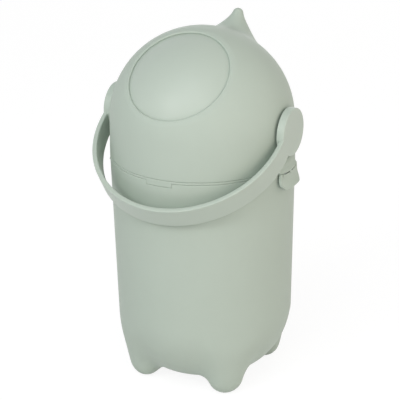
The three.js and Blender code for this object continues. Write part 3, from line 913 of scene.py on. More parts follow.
@dataclass(frozen=True)
class SteelFinish:
    """Zinc-plated steel with fine drawing lines and dull spots."""

    name: str
    colour: Place
    roughness: float = 0.22
    spot_scale: float = 420.0
    line_scale: Place = (250.0, 250.0, 4000.0)
    line_depth: float = 0.00003
    line_strength: float = 0.35
    slot: str = "steel"

    def build(self) -> Material:
        """Builds the shader tree.

        Returns:
            The finished material.
        """
        graph = Graph(self.name)
        spots = graph.noise(self.spot_scale, detail=4.0, roughness=0.6)
        place = graph.node("ShaderNodeTexCoord", {}, {}).outputs["Object"]
        stretched = graph.node("ShaderNodeMapping", {}, {"Vector": place, "Scale": self.line_scale})
        lines = graph.value("ShaderNodeTexNoise", {}, {"Vector": stretched.outputs[0], "Scale": 1.0}, "Fac")
        colour = graph.mixed(spots, shaded(self.colour, 0.8), shaded(self.colour, 1.06))
        shader = graph.node("ShaderNodeBsdfPrincipled", {}, {
            "Base Color": colour, "Metallic": 1.0, "Roughness": spots * 0.2 + self.roughness,
            "Normal": graph.bump(lines, self.line_strength, self.line_depth)})
        return graph.surface(shader)


Finish = Union[PlasticFinish, RubberFinish, SteelFinish]


class Palette:
    """The finishes of the bin, each built once."""

    SAGE = (0.722, 0.77, 0.722)
    SHELL = PlasticFinish("sage_satin_plastic", SAGE, 0.5)
    TURNER = PlasticFinish("sage_satin_plastic_of_the_turner", SAGE, 0.4, 0.015, gloss=0.46)
    BEARING = PlasticFinish("pale_bearing_plastic", (0.78, 0.82, 0.77), 0.5, 0.01, slot="bearing")
    SEAL = RubberFinish("grey_green_rubber", (0.56, 0.6, 0.56))
    STEEL = SteelFinish("zinc_plated_steel", (0.74, 0.75, 0.76))

    made: dict[str, Material] = {}

    @classmethod
    def shared(cls, finish: Finish) -> Material:
        """Returns the material of a finish, built on first use."""
        if finish.name not in cls.made:
            cls.made[finish.name] = finish.build()
        return cls.made[finish.name]

    def dress(self, piece: Piece, finish: Finish) -> Piece:
        """Gives a piece its finish.

        Args:
            piece: The object.
            finish: The finish.

        Returns:
            The same object.
        """
        piece.data.materials.clear()
        piece.data.materials.append(self.shared(finish))
        for face in piece.data.polygons:
            face.material_index = 0
        return piece

    def dress_node(self, node: str, finish: Finish) -> None:
        """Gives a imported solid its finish.

        Args:
            node: The solid's name.
            finish: The finish.
        """
        solid = frame["nodes"][node]
        if not solid.material_slots:
            solid.data.materials.append(self.shared(finish))
        for slot in solid.material_slots:
            slot.material = self.shared(finish)


# Repeated parts


class Pattern(Tree):
    """A Geometry Nodes tree that repeats turned or square parts."""

    def __init__(self, name: str, sizes: dict[str, float]) -> None:
        """Starts a tree with one named input for each size.

        Args:
            name: The tree's name.
            sizes: The sizes, as whole counts or as lengths in millimetres.
        """
        super().__init__(bpy.data.node_groups.new(name, "GeometryNodeTree"))
        self.sizes = {size: given if isinstance(given, int) else given * MM
                      for size, given in sizes.items()}
        for size, given in sizes.items():
            kind = "NodeSocketInt" if isinstance(given, int) else "NodeSocketFloat"
            self.tree.interface.new_socket(size, in_out="INPUT", socket_type=kind)
        self.tree.interface.new_socket("Geometry", in_out="OUTPUT", socket_type="NodeSocketGeometry")
        self.given = self.node("NodeGroupInput", {}, {})

    def size(self, name: str) -> Socket:
        """Returns the socket of a named size."""
        return self.given.outputs[name]

    def block(self, x: Socket, y: Socket, z: Socket) -> Socket:
        """Returns the socket of a block with three named sizes."""
        size = self.node("ShaderNodeCombineXYZ", {}, {"X": x, "Y": y, "Z": z}).outputs[0]
        return self.node("GeometryNodeMeshCube", {}, {"Size": size}).outputs["Mesh"]

    def ring(self) -> Socket:
        """Returns the socket of a ring of points with the pattern's Count and Reach."""
        sockets = {"Vertices": self.size("Count"), "Radius": self.size("Reach")}
        return self.node("GeometryNodeMeshCircle", {}, sockets).outputs["Mesh"]

    def moved(self, shape: Socket, shift: Place = ORIGIN, turn: Place = ORIGIN) -> Socket:
        """Moves and turns a shape.

        Args:
            shape: The shape's socket.
            shift: The move in millimetres.
            turn: The turn, as angles.

        Returns:
            The moved shape's socket.
        """
        metres = tuple(length * MM for length in shift)
        sockets = {"Geometry": shape, "Translation": metres, "Rotation": turn}
        return self.node("GeometryNodeTransform", {}, sockets).outputs[0]

    def pin(self, radius: Socket, length: Socket, around: int) -> Socket:
        """Returns the socket of an upright round pin."""
        sockets = {"Vertices": around, "Radius": radius, "Depth": length}
        return self.node("GeometryNodeMeshCylinder", {}, sockets).outputs["Mesh"]

    def joined(self, *shapes: Socket) -> Socket:
        """Returns the socket of several shapes together."""
        return self.node("GeometryNodeJoinGeometry", {}, {"Geometry": list(reversed(shapes))}).outputs[0]

    def repeated(self, points: Socket, shape: Socket, turn: Union[Socket, Place] = ORIGIN) -> Socket:
        """Sets a shape on each point.

        Args:
            points: The points' socket.
            shape: The shape's socket.
            turn: The turn of each copy.

        Returns:
            The copies' socket.
        """
        sockets = {"Points": points, "Instance": shape, "Rotation": turn}
        return self.node("GeometryNodeInstanceOnPoints", {}, sockets).outputs[0]

    def piece(self, name: str, shape: Socket, axis: Axis, material: Material) -> Piece:
        """Ends the tree and turns its result into a plain piece.

        Args:
            name: The piece's name.
            shape: The last shape's socket.
            axis: Where the tree's own frame stands.
            material: The material that the tree sets.

        Returns:
            The piece, without its modifier.
        """
        real = self.node("GeometryNodeRealizeInstances", {}, {"Geometry": shape}).outputs[0]
        dressed = self.node("GeometryNodeSetMaterial", {}, {"Geometry": real, "Material": material})
        self.node("NodeGroupOutput", {}, {"Geometry": dressed.outputs[0]})
        carrier = bpy.data.objects.new(name, bpy.data.meshes.new(name))
        bpy.context.scene.collection.objects.link(carrier)
        modifier = carrier.modifiers.new(self.tree.name, "NODES")
        modifier.node_group = self.tree
        for item in self.tree.interface.items_tree:
            if item.item_type == "SOCKET" and item.in_out == "INPUT":
                modifier[item.identifier] = self.sizes[item.name]
        bpy.context.view_layer.update()
        settle(carrier)
        carrier.data.transform(axis.placing())
        smooth(carrier, CREASE)
        return carrier


# The bin


@dataclass(frozen=True)
class Fit:
    """Sizes that several pieces share."""

    rim_radius: float = 120.0
    rim_height: float = 308.4
    draft: float = 0.0217
    lid_edge: float = 312.0
    ring_top: float = 311.7
    dome_radius: float = 119.2
    dome_inner: float = 116.2
    ball_radius: float = 115.0
    ball_wall: float = 2.5
    ball_flat: float = 107.55
    ball_split: float = 16.0
    opening_tilt: float = math.radians(39.3)
    cup_tilt: float = math.radians(-74.3)
    handle_drop: float = math.radians(32.25)
    clip_axis: Point = (122.25, 301.4)
    clip_barrel: float = 1.8
    clip_tongue: float = 3.1
    clip_width: float = 48.0
    key_half: float = 7.3

    @property
    def ball_inner(self) -> float:
        """Returns the radius of the ball's inner surface."""
        return self.ball_radius - self.ball_wall

    def wall(self, height: Array) -> Array:
        """Returns the radius of the body's tapered wall at a height."""
        return self.rim_radius - self.draft * (self.rim_height - height)

    def opening_axis(self) -> Axis:
        """Returns the axis of the round opening, with its side pointing down the front."""
        s, c = math.sin(self.opening_tilt), math.cos(self.opening_tilt)
        return Axis(HUB, (0, -s, c), (0, -c, -s))

    def cup_axis(self) -> Axis:
        """Returns the axis of the ball's cup at rest."""
        along = (0, -math.cos(self.cup_tilt), math.sin(self.cup_tilt))
        return Axis(HUB, along, (1, 0, 0))

    def hub_axis(self, side: float) -> Axis:
        """Returns the handle's axis, pointing outwards on one side."""
        return Axis(HUB, (side, 0, 0), (0, 1, 0))

    def handle_ahead(self) -> Place:
        """Returns the direction of the handle's arms at rest."""
        return (0.0, -math.cos(self.handle_drop), -math.sin(self.handle_drop))


FIT = Fit()


@dataclass
class Part:
    """What all sub-assemblies share: their finishes and the way a piece is handed over."""

    palette: Palette

    def hand_over(self, piece: Piece, finish: Finish, body: str, *replaced: str) -> Piece:
        """Dresses a piece, lets it ride on its body and reports it.

        Args:
            piece: The finished object.
            finish: Its finish.
            body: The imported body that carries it.
            *replaced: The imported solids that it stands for.

        Returns:
            The same object.
        """
        self.palette.dress(piece, finish)
        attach(piece, body)
        if replaced:
            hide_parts(*replaced)
        log.info("%s on %s, %d faces", piece.name, body, len(piece.data.polygons))
        return piece


def stepped_columns(half_width: float, around: int = 220, inside: int = 13) -> tuple[Array, Array]:
    """Columns of a ring with a step down at the front, doubled at the step's sides.

    Args:
        half_width: Half the width of the step.
        around: Number of columns outside the step.
        inside: Number of columns inside it.

    Returns:
        The columns' angles, and whether each lies inside the step.
    """
    half = math.asin(half_width / FIT.rim_radius)
    front = -math.pi / 2
    outer = np.linspace(front + half, front - half + FULL_TURN, around)
    inner = np.linspace(front - half, front + half, inside)
    return np.concatenate([outer, inner]), np.arange(around + inside) >= around


def key_hole(piece: Piece, start: float, end: float) -> Piece:
    """Cuts the square hole of an axle's key along the handle's axis.

    Args:
        piece: The solid that is cut.
        start: Where the hole starts.
        end: Where it ends.

    Returns:
        The cut solid.
    """
    low, high = sorted((start, end))
    near, far = HUB_HEIGHT - FIT.key_half, HUB_HEIGHT + FIT.key_half
    key = brick((low, -FIT.key_half, near), (high, FIT.key_half, far), -FIT.handle_drop)
    return carve(piece, key, Cut.TAKE)


@dataclass
class Base(Part):
    """The tapered body with its four hollow legs, the notch for the ring's tab and the catches."""

    wall: float = 3.0
    bowl_floor: float = 13.0
    bowl_rise: float = 88.0
    bowl_spread: float = 67.0
    leg_offset: float = 60.53
    leg_radius: float = 23.1
    leg_height: float = 22.31
    leg_flare: float = math.radians(16.0)
    leg_lean: float = math.radians(9.0)
    leg_fillet: float = 15.0
    cell: float = 2.9
    seam_height: float = 120.0
    rim_round: float = 1.1
    notch_half: float = 18.0
    notch_depth: float = 5.3
    first_row: float = 2.6
    wall_rows: Place = (135.0, 285.0, 295.0)
    catch_half: float = 15.0
    catch_section: Corners = (
        (118.4, 291.2), (119.9, 291.2, 0.3), (122.0, 289.7, 0.5), (122.0, 288.2, 0.5), (118.4, 286.7))

    def bowl(self, points: Array) -> Array:
        """Measures how far points lie outside the body without its legs.

        Args:
            points: The points.

        Returns:
            Their distances, less than 0 inside.
        """
        reach, height = np.hypot(points[:, 0], points[:, 1]), points[:, 2]
        wall = FIT.wall(height)
        start = self.bowl_floor + self.bowl_rise
        u = np.maximum(reach - (wall - self.bowl_spread), 0) / self.bowl_spread
        v = np.maximum(start - height, 0) / self.bowl_rise
        q = np.sqrt(u ** 2 + v ** 2)
        slope = np.sqrt((u / self.bowl_spread) ** 2 + (v / self.bowl_rise) ** 2)
        low = (q - 1) * q / np.maximum(slope, 1e-9)
        low = np.where(q < 1e-6, -self.bowl_spread, low)
        return np.where(height < start, low, reach - wall)

    def leg(self, points: Array) -> Array:
        """Measures how far points lie outside the nearest leg, a ball that widens upwards as a cone.

        Args:
            points: The points.

        Returns:
            Their distances, less than 0 inside.
        """
        x, y = np.abs(points[:, 0]), np.abs(points[:, 1])
        ahead = (x + y) * math.sqrt(0.5) - self.leg_offset * math.sqrt(2)
        across = (x - y) * math.sqrt(0.5)
        up = points[:, 2] - self.leg_height
        s, c = math.sin(self.leg_lean), math.cos(self.leg_lean)
        along = up * c - ahead * s
        apart = np.hypot(ahead * c + up * s, across)
        fs, fc = math.sin(self.leg_flare), math.cos(self.leg_flare)
        ball = np.hypot(along, apart) - self.leg_radius
        cone = apart * fc - along * fs - self.leg_radius
        return np.where(along * fc + apart * fs < 0, ball, cone)

    def outside(self, points: Array) -> Array:
        """Measures how far points lie outside the body with its legs, all inside the tapered wall.

        Args:
            points: The points.

        Returns:
            Their distances, less than 0 inside.
        """
        bowl, leg = self.bowl(points), self.leg(points)
        grown = np.maximum(bowl - blended(bowl, leg, self.leg_fillet), 0)
        wall = np.hypot(points[:, 0], points[:, 1]) - FIT.wall(points[:, 2])
        room = np.maximum(bowl - wall, 0)
        limited = grown * room / np.cbrt(grown ** 3 + room ** 3 + 1e-9)
        return bowl - limited

    def profile(self, top: float) -> list[Point]:
        """The wall above the seam, up outside, over the rim and down inside.

        Args:
            top: Height of the rim.

        Returns:
            Points (radius, height).
        """
        low, high, last = self.wall_rows
        heights = [self.seam_height + self.first_row, *np.linspace(low, high, 11), last]
        outer = [(float(FIT.wall(h)), float(h)) for h in heights]
        inner = [(r - self.wall, h) for r, h in reversed(outer)]
        radius = float(FIT.wall(top))
        edge = [(r, top, self.rim_round) for r in (radius, radius - self.wall)]
        rim = soften([outer[-1], *edge, inner[0]], closed=False, support=0.0)
        return outer + rim[1:-1] + inner

    def shell(self) -> Piece:
        """Builds the hollow body on its legs.

        Returns:
            The body.
        """
        reach, top = FIT.rim_radius + self.cell, self.seam_height + self.cell / 2
        start, end = (-reach, -reach, -self.cell), (reach, reach, top)
        points, faces = surface_net(self.outside, start, end, self.cell)
        draft = Draft()
        draft.add(points)
        draft.faces = list(map(tuple, faces.tolist()))
        loop = max(draft.open_loops(), key=len)
        fixed = np.zeros(len(points), bool)
        fixed[loop] = True
        turn = np.arctan2(points[loop, 1], points[loop, 0])
        seam, height = float(FIT.wall(self.seam_height)), np.full(len(loop), self.seam_height)
        points[loop] = np.stack([seam * np.cos(turn), seam * np.sin(turn), height], 1)
        points = evened(self.outside, points, faces, fixed, rounds=4)
        inner = points - self.wall * outward(self.outside, points)
        points[:, 2] = np.maximum(points[:, 2], 0)
        draft.blocks = [points]
        numbers = draft.add(inner)
        draft.faces += list(map(tuple, numbers[faces][:, ::-1].tolist()))
        angles, notched = stepped_columns(self.notch_half)
        full = UPRIGHT.points(self.profile(FIT.rim_height), angles)
        low = UPRIGHT.points(self.profile(FIT.rim_height - self.notch_depth), angles)
        wall = draft.add(np.where(notched[None, :, None], low, full))
        draft.grid(wall)
        draft.zip_rings(loop, wall[0], UPRIGHT)
        draft.zip_rings(numbers[loop], wall[-1], UPRIGHT)
        return draft.finish("body_on_four_legs")

    def catch(self, side: float, draft: Draft) -> None:
        """Adds the bead that one clip hooks under.

        Args:
            side: 1 for right, -1 for left.
            draft: The draft that takes the bead.
        """
        half = math.asin(self.catch_half / FIT.rim_radius)
        section = soften(self.catch_section, steps=2, support=0.0)
        turned = UPRIGHT.points(section, np.linspace(-half, half, 15))
        turned[..., 0] *= side
        draft.bar(turned.transpose(1, 0, 2))

    def build(self) -> None:
        """Builds and hands over the body and its catches."""
        self.hand_over(self.shell(), Palette.SHELL, "base", "body_shell")
        beads = Draft()
        for side in SIDES.values():
            self.catch(side, beads)
        self.hand_over(beads.finish("clip_catches"), Palette.SHELL, "base")


@dataclass
class BagRing(Part):
    """The thin ring that holds the bag over the rim, with its finger tab."""

    inner_radius: float = 115.0
    skirt_radius: float = 116.7
    skirt_end: float = 291.9
    skirt_draft: float = 0.36
    flange_under: float = 308.7
    tab_under: float = 303.4
    tab_half: float = 17.7

    def profile(self, under: float) -> list[Point]:
        """The ring's section.

        Args:
            under: Height of the flange's underside.

        Returns:
            Points (radius, height).
        """
        return soften([
            (self.inner_radius, FIT.ring_top, 0.6), (FIT.rim_radius, FIT.ring_top, 0.7),
            (FIT.rim_radius, under, 0.6), (self.skirt_radius, under),
            (self.skirt_radius - self.skirt_draft, self.skirt_end, 0.4),
            (self.inner_radius - self.skirt_draft, self.skirt_end, 0.4),
        ], steps=3, support=0.25)

    def build(self) -> None:
        """Builds and hands over the ring."""
        angles, tabbed = stepped_columns(self.tab_half)
        plain = UPRIGHT.points(self.profile(self.flange_under), angles)
        tab = UPRIGHT.points(self.profile(self.tab_under), angles)
        draft = Draft()
        draft.grid(draft.add(np.where(tabbed[None, :, None], tab, plain)), wrap_rows=True)
        self.hand_over(draft.finish("bag_ring_with_tab"), Palette.SHELL, "ring", "bag_ring")


@dataclass
class Horn:
    """The horn that grows out of the dome's back with a soft foot."""

    root_tilt: float = math.radians(52.0)
    root_depth: float = 0.72 * FIT.dome_radius
    root_radius: float = 49.2
    tip_radius: float = 7.1
    tip: Point = (109.2, 117.9)
    bend: float = 5.9
    taper: float = 1.31
    fillet: float = 13.0
    reach: float = math.radians(36.5)
    samples: int = 22
    foot_top: float = math.radians(21.0)
    foot_rows: int = 18
    first_row: float = 0.12
    rows: int = 22
    step: float = 0.02
    tip_turns: tuple[int, ...] = (18, 36, 54, 72, 90)
    around: int = 104

    def axis(self) -> Axis:
        """Returns the line from the dome's centre to the horn's root."""
        s, c = math.sin(self.root_tilt), math.cos(self.root_tilt)
        return Axis(HUB, (0, s, c), (0, c, -s))

    def spine(self, share: float) -> tuple[Array, float]:
        """One ball of the row that makes up the horn.

        Args:
            share: 0 at the root and 1 at the tip.

        Returns:
            The ball's centre and radius.
        """
        root = self.root_depth * np.array([math.sin(self.root_tilt), math.cos(self.root_tilt)])
        tip = np.array(self.tip)
        middle = (root + tip) / 2 + np.array([self.bend, 0])
        last = tip - unit(tip - middle) * self.tip_radius
        flat = root * (1 - share) ** 2 + middle * 2 * share * (1 - share) + last * share ** 2
        radius = self.tip_radius + (self.root_radius - self.tip_radius) * (1 - share) ** self.taper
        return np.array([0.0, flat[0], flat[1] + HUB_HEIGHT]), radius

    def row(self, points: Array) -> Array:
        """Measures how far points lie outside a row of balls and the cones between them.

        Args:
            points: The points.

        Returns:
            Their distances, less than 0 inside.
        """
        found = np.full(len(points), 1e9)
        balls = [self.spine(k / self.samples) for k in range(self.samples + 1)]
        for (a, ra), (b, rb) in zip(balls, balls[1:]):
            ba = b - a
            square = ba @ ba
            drop = ra - rb
            rest = square - drop ** 2
            pa = points - a
            y = pa @ ba
            z = y - square
            x2 = ((pa * square - y[:, None] * ba) ** 2).sum(1)
            y2, z2 = y * y * square, z * z * square
            k = np.sign(drop) * drop ** 2 * x2
            cone = (np.sqrt(x2 * rest / square) + y * drop) / square - ra
            top = np.sqrt(x2 + z2) / square - rb
            foot = np.sqrt(x2 + y2) / square - ra
            lower = np.where(np.sign(y) * rest * y2 < k, foot, cone)
            found = np.minimum(found, np.where(np.sign(z) * rest * z2 > k, top, lower))
        return found

    def field(self, points: Array) -> Array:
        """Returns distances from the dome with the horn on it."""
        ball = np.linalg.norm(points - HUB, axis=1) - FIT.dome_radius
        return blended(ball, self.row(points), self.fillet)

    def surface(self) -> Array:
        """Finds the horn's skin, from its foot on the dome to its tip.

        Returns:
            Rings of points.
        """
        angles = circle_angles(self.around)
        foot = [(FIT.dome_radius * math.sin(d), FIT.dome_radius * math.cos(d))
                for d in np.linspace(self.reach, self.foot_top, self.foot_rows)]
        rings = list(self.axis().points(foot, angles))
        for share in np.linspace(self.first_row, 1.0, self.rows):
            centre, radius = self.spine(share)
            ahead = self.spine(held(share + self.step))[0] - self.spine(held(share - self.step))[0]
            ring = Axis(centre, ahead, (0, ahead[2], -ahead[1]))
            rings.append(ring.points([(radius, 0)], angles)[0])
        for angle in np.radians(self.tip_turns):
            rings.append(ring.points([(radius * math.cos(angle), radius * math.sin(angle))], angles)[0])
        skin = np.stack(rings)
        start, numbers = skin.reshape(-1, 3), np.arange(skin[..., 0].size).reshape(skin.shape[:2])
        net = Draft()
        net.grid(numbers)
        fixed = np.isin(numbers, numbers[[0, -1]]).reshape(-1)
        points = np.where(fixed[:, None], start, drawn_to(self.field, start, rounds=8))
        points = evened(self.field, points, np.array(net.faces), fixed, rounds=30)
        return points.reshape(skin.shape)


@dataclass(frozen=True)
class ClipHinge:
    """A row of round hinge barrels, each with a short web, along a clip's pin."""

    name: str
    width: float
    radius: float
    web_height: float
    web_depth: float
    web_shift: float
    upwards: bool = False
    count: int = 1
    pitch: float = 0.0

    def build(self, side: float, name: str) -> Piece:
        """Repeats the barrels along the pin.

        Args:
            side: 1 for right, -1 for left.
            name: The piece's name.

        Returns:
            The row as one plain piece.
        """
        pattern = Pattern(self.name + ("_right" if side > 0 else "_left"), {
            "Count": self.count, "Pitch": self.pitch, "Width": self.width, "Radius": self.radius,
            "Web Height": self.web_height, "Web Depth": self.web_depth})
        size = pattern.size
        pin = pattern.pin(size("Radius"), size("Width"), around=32)
        barrel = pattern.moved(pin, turn=(math.pi / 2, 0, 0))
        block = pattern.block(size("Web Depth"), size("Width"), size("Web Height"))
        rise = self.web_height / 2 if self.upwards else -self.web_height / 2
        web = pattern.moved(block, (self.web_shift, 0, rise))
        start = (0, -self.pitch * (self.count - 1) / 2 * MM, 0)
        offset = pattern.node("ShaderNodeCombineXYZ", {}, {"Y": size("Pitch")}).outputs[0]
        line = pattern.node("GeometryNodeMeshLine", {"mode": "OFFSET"}, {
            "Count": size("Count"), "Start Location": start, "Offset": offset}).outputs["Mesh"]
        row = pattern.repeated(line, pattern.joined(barrel, web))
        if side < 0:
            row = pattern.moved(row, turn=(0, 0, math.pi))
        x, z = FIT.clip_axis
        axis = Axis((side * x, 0, z), (0, 0, 1), (1, 0, 0))
        return pattern.piece(name, row, axis, Palette.shared(Palette.SHELL))


TONGUE = ClipHinge("bracket_tongue", 4.6, FIT.clip_tongue, 4.3, 4.9, 0.65, upwards=True)
KNUCKLES = ClipHinge("clip_knuckles", 4.4, FIT.clip_barrel, 2.6, 1.8, 0.9, count=2, pitch=34.0)


@dataclass
class Lid(Part):
    """The dome with its opening, its horn, the bearings of the handle and the clips' brackets."""

    around: int = 288
    lip_centre: Point = (67.35, 94.69)
    lip_round: float = 1.8
    lip_end: float = 64.0
    lip_inside: Outline = ((72.4, 90.89), (67.8, 94.37), (66.9, 94.6), (65.7, 94.62), (65.55, 94.8))
    dish_depth: float = 1.35
    dish_width: float = 7.5
    outer_rows: int = 66
    row_crowding: float = 1.4
    inner_rows: int = 48
    groove: Point = (115.0, 118.6)
    groove_roof: float = 314.0
    spigot: Point = (112.4, 114.4)
    spigot_end: float = 306.0
    spigot_root: float = 316.5
    wall_rows: Place = (320.3, 330.0, 342.0)
    hub_flat: float = 116.4
    boss_radius: float = 24.0
    boss_reach: Point = (109.6, 115.6)
    boss_round: float = 0.8
    bore_radius: float = 13.3
    bore_reach: Point = (100.0, 125.0)
    shoulder: float = 20.2
    swing: float = 3.6
    lug_back: Point = (120.7, 117.8)
    lug_face: Corners = ((125.5, 305.6, 1.4), (122.9, 309.4, 3.0), (121.7, 313.5, 2.0), (119.4, 316.8, 0.4))
    lug_columns: Outline = ((-24.3, 0.6), (-24.1, 0.2), (-23.7, 0.0), (-22.7, 0.0), (-21.2, 0.0),
                            (-20.25, 0.0), (-20.15, 0.0))
    lug_middle: float = 18.7
    lug_root: float = 312.7
    lug_roof: float = 302.8
    lug_arm: float = 305.2
    wiper_reach: Point = (68.3, 73.3)
    wiper_depth: Point = (115.3, 115.85)
    horn: Horn = field(default_factory=Horn)
    horn_gap: float = math.radians(0.8)

    def equator(self, angles: Array) -> Array:
        """Returns the angle from the opening's axis at which each column reaches the hub's height."""
        return np.arctan2(1 / math.tan(FIT.opening_tilt), np.cos(angles))

    def dished(self, share: float, start: float, angles: Array) -> Array:
        """The dome's outer radius in one row, a little less beside the opening.

        Args:
            share: 0 at the opening and 1 at the hub's height.
            start: Angle from the opening's axis where the surface begins.
            angles: Angles of the columns.

        Returns:
            The radius at each column.
        """
        away = FIT.dome_radius * share * (self.equator(angles) - start)
        near = np.clip(1 - away / self.dish_width, 0, 1)
        return (FIT.dome_radius - self.dish_depth * near ** 2)[:, None]

    def on_ball(self, radius: Union[float, Array], share: float, start: float,
                angles: Array) -> Array:
        """One row of the dome round the opening.

        Args:
            radius: Radius of the dome's surface.
            share: 0 at the opening and 1 at the hub's height.
            start: Angle from the opening's axis where the surface begins.
            angles: Angles of the columns.

        Returns:
            The row's points.
        """
        along, side, other = FIT.opening_axis().directions()
        down = start + share * (self.equator(angles) - start)
        ring = np.cos(angles)[:, None] * side + np.sin(angles)[:, None] * other
        found = np.cos(down)[:, None] * along + np.sin(down)[:, None] * ring
        return radius * found + HUB

    def skirt(self, profile: Outline, angles: Array) -> list[Array]:
        """Rows below the hub's height, straight under the ends of the dome's columns.

        Args:
            profile: Points (radius, height).
            angles: Angles of the columns.

        Returns:
            The rows' points.
        """
        ends = self.on_ball(1.0, 1.0, 0.0, angles)[:, :2]
        ends /= np.linalg.norm(ends, axis=1)[:, None]
        return [np.column_stack([ends * radius, np.full(len(ends), height)]) for radius, height in profile]

    def edge(self) -> list[tuple[float, ...]]:
        """Lists the corners of the lid's lower edge, with its groove and its spigot.

        Returns:
            Points (radius, height) or (radius, height, rounding).
        """
        (near, far), (inner, outer) = self.groove, self.spigot
        return [
            (FIT.rim_radius, FIT.lid_edge, 0.8), (far, FIT.lid_edge, 0.2), (far, self.groove_roof, 0.2),
            (near, self.groove_roof, 0.2), (near, FIT.lid_edge, 0.1), (outer, FIT.lid_edge),
            (outer, self.spigot_end, 0.6), (inner, self.spigot_end, 0.6), (inner, self.spigot_root),
            (FIT.dome_inner, self.wall_rows[0])]

    def dome(self) -> Piece:
        """Builds the dome with its lip, spigot and horn.

        Returns:
            The hollow solid.
        """
        angles = circle_angles(self.around)
        lip = [*self.lip_inside, *arc(self.lip_centre, self.lip_round, 180, self.lip_end, steps=10)]
        start, end = math.atan2(*lip[-1]), math.atan2(*lip[0])
        rows = list(FIT.opening_axis().points(lip, angles))
        outer_from = len(rows)
        shares = (np.arange(1, self.outer_rows + 1) / self.outer_rows) ** self.row_crowding
        rows += [self.on_ball(self.dished(t, start, angles), t, start, angles) for t in shares]
        outer_to = len(rows)
        steps = np.linspace(0, 1, 15)[1:-1]
        fall = between((FIT.dome_radius, HUB_HEIGHT), (FIT.rim_radius, FIT.lid_edge), steps)
        under = soften([fall[-1], *self.edge()], closed=False, steps=3, support=0.4)
        inside = [(FIT.dome_inner, height) for height in self.wall_rows[1:]]
        rows += self.skirt(fall + under[1:] + inside, angles)
        inner_from = len(rows)
        shares = np.arange(self.inner_rows, 0, -1) / self.inner_rows
        rows += [self.on_ball(FIT.dome_inner, t, end, angles) for t in shares]
        skin = np.stack(rows)
        skin[..., 0] = np.clip(skin[..., 0], -self.hub_flat, self.hub_flat)
        axis, apart = self.horn.axis(), skin - HUB
        tilt = np.arccos(np.clip(apart @ axis.directions()[0] / np.linalg.norm(apart, axis=2), -1, 1))
        dropped = tilt < self.horn.reach + self.horn_gap
        dropped[:outer_from] = False
        dropped[outer_to:inner_from] = False
        draft = Draft()
        draft.grid(draft.add(skin), wrap_rows=True, dropped=dropped)
        self.join_horn(draft, axis)
        return draft.finish("domed_lid_with_horn")

    def join_horn(self, draft: Draft, axis: Axis) -> None:
        """Joins the hollow horn to the holes in the dome's outer and inner surface.

        Args:
            draft: The dome with its two holes.
            axis: The horn's axis.
        """
        points = draft.coordinates()
        loops = [loop for loop in draft.open_loops() if len(loop) > 20]
        loops.sort(key=lambda loop: np.linalg.norm(points[loop] - HUB, axis=1).mean())
        outside = self.horn.surface()
        flat = outside.reshape(-1, 3)
        wall = (FIT.dome_radius - FIT.dome_inner) * outward(self.horn.field, flat)
        for skin, loop in ((outside, loops[-1]), ((flat - wall).reshape(outside.shape), loops[0])):
            numbers = draft.add(skin)
            draft.grid(numbers)
            draft.zip_rings(loop, numbers[0], axis)

    def bearings(self, lid: Piece) -> Piece:
        """Adds the bosses behind the hubs and bores them.

        Args:
            lid: The hollow dome.

        Returns:
            The bored lid.
        """
        low, high = self.boss_reach
        corner = (self.boss_radius - self.boss_round, low + self.boss_round)
        boss = [(0, low), *arc(corner, self.boss_round, -90, 0, steps=3), (self.boss_radius, high),
                (0, high)]
        for side in SIDES.values():
            axis = FIT.hub_axis(side)
            carve(lid, rod(axis, boss, around=64), Cut.JOIN)
            carve(lid, rod(axis, plug(self.bore_radius, *self.bore_reach), around=64), Cut.TAKE)
        return lid

    def swing_space(self, x: float) -> float:
        """Returns the height under the lug at a distance from the middle, clear of the swinging clip."""
        reach = self.swing ** 2 - (x - FIT.clip_axis[0]) ** 2
        return max(FIT.clip_axis[1] + math.sqrt(max(reach, 0.0)), self.lug_roof)

    def lug_section(self, across: float, inset: float) -> list[Point]:
        """One lug's section at a distance from its middle.

        Args:
            across: The distance.
            inset: How much smaller the section is, for the rounded ends.

        Returns:
            Points (distance from the bin's middle, height).
        """
        near, deep = [math.sqrt(radius ** 2 - across ** 2) for radius in self.lug_back]
        above = self.lug_arm if abs(across) > self.shoulder else 0.0
        face = [(math.sqrt((radius - inset) ** 2 - across ** 2), height - inset, bend)
                for radius, height, bend in self.lug_face]
        under = [(x, max(self.swing_space(x), above) + inset) for x in np.linspace(near, face[0][0], 7)]
        corners = [*under[:-1], (*under[-1], 0.5), *face, (deep, face[-1][1])]
        return soften([*corners, (deep, self.lug_root), (near, self.lug_root)], steps=3, support=0.3)

    def bracket(self, side: float, name: str) -> Piece:
        """The lug above one clip, round like the wall, with its slanted top.

        Args:
            side: 1 for right, -1 for left.
            name: The piece's name.

        Returns:
            The lug.
        """
        middle = [(y, 0.0) for y in np.linspace(-self.lug_middle, self.lug_middle, 15)]
        mirrored = [(-y, inset) for y, inset in reversed(self.lug_columns)]
        draft = Draft()
        draft.bar([[(side * x, y, z) for x, z in self.lug_section(y, inset)]
                   for y, inset in (*self.lug_columns, *middle, *mirrored)])
        return draft.finish(name, FINE_CREASE)

    def wiper(self) -> Piece:
        """Builds the soft ring behind the opening that wipes the ball.

        Returns:
            The ring.
        """
        (near, far), (low, high) = self.wiper_reach, self.wiper_depth
        corners = [(r, math.sqrt(depth ** 2 - r ** 2), 0.12)
                   for r, depth in ((near, low), (far, low), (far, high), (near, high))]
        return rod(FIT.opening_axis(), soften(corners), self.around, "opening_wiper")

    def build(self) -> None:
        """Builds and hands over the lid and its brackets."""
        self.hand_over(self.bearings(self.dome()), Palette.SHELL, "lid", "dome_lid")
        self.hand_over(self.wiper(), Palette.SEAL, "lid", "opening_seal")
        for word, side in SIDES.items():
            self.hand_over(self.bracket(side, f"clip_bracket_{word}"), Palette.SHELL, "lid")
            self.hand_over(TONGUE.build(side, f"clip_bracket_tongue_{word}"), Palette.SHELL, "lid")


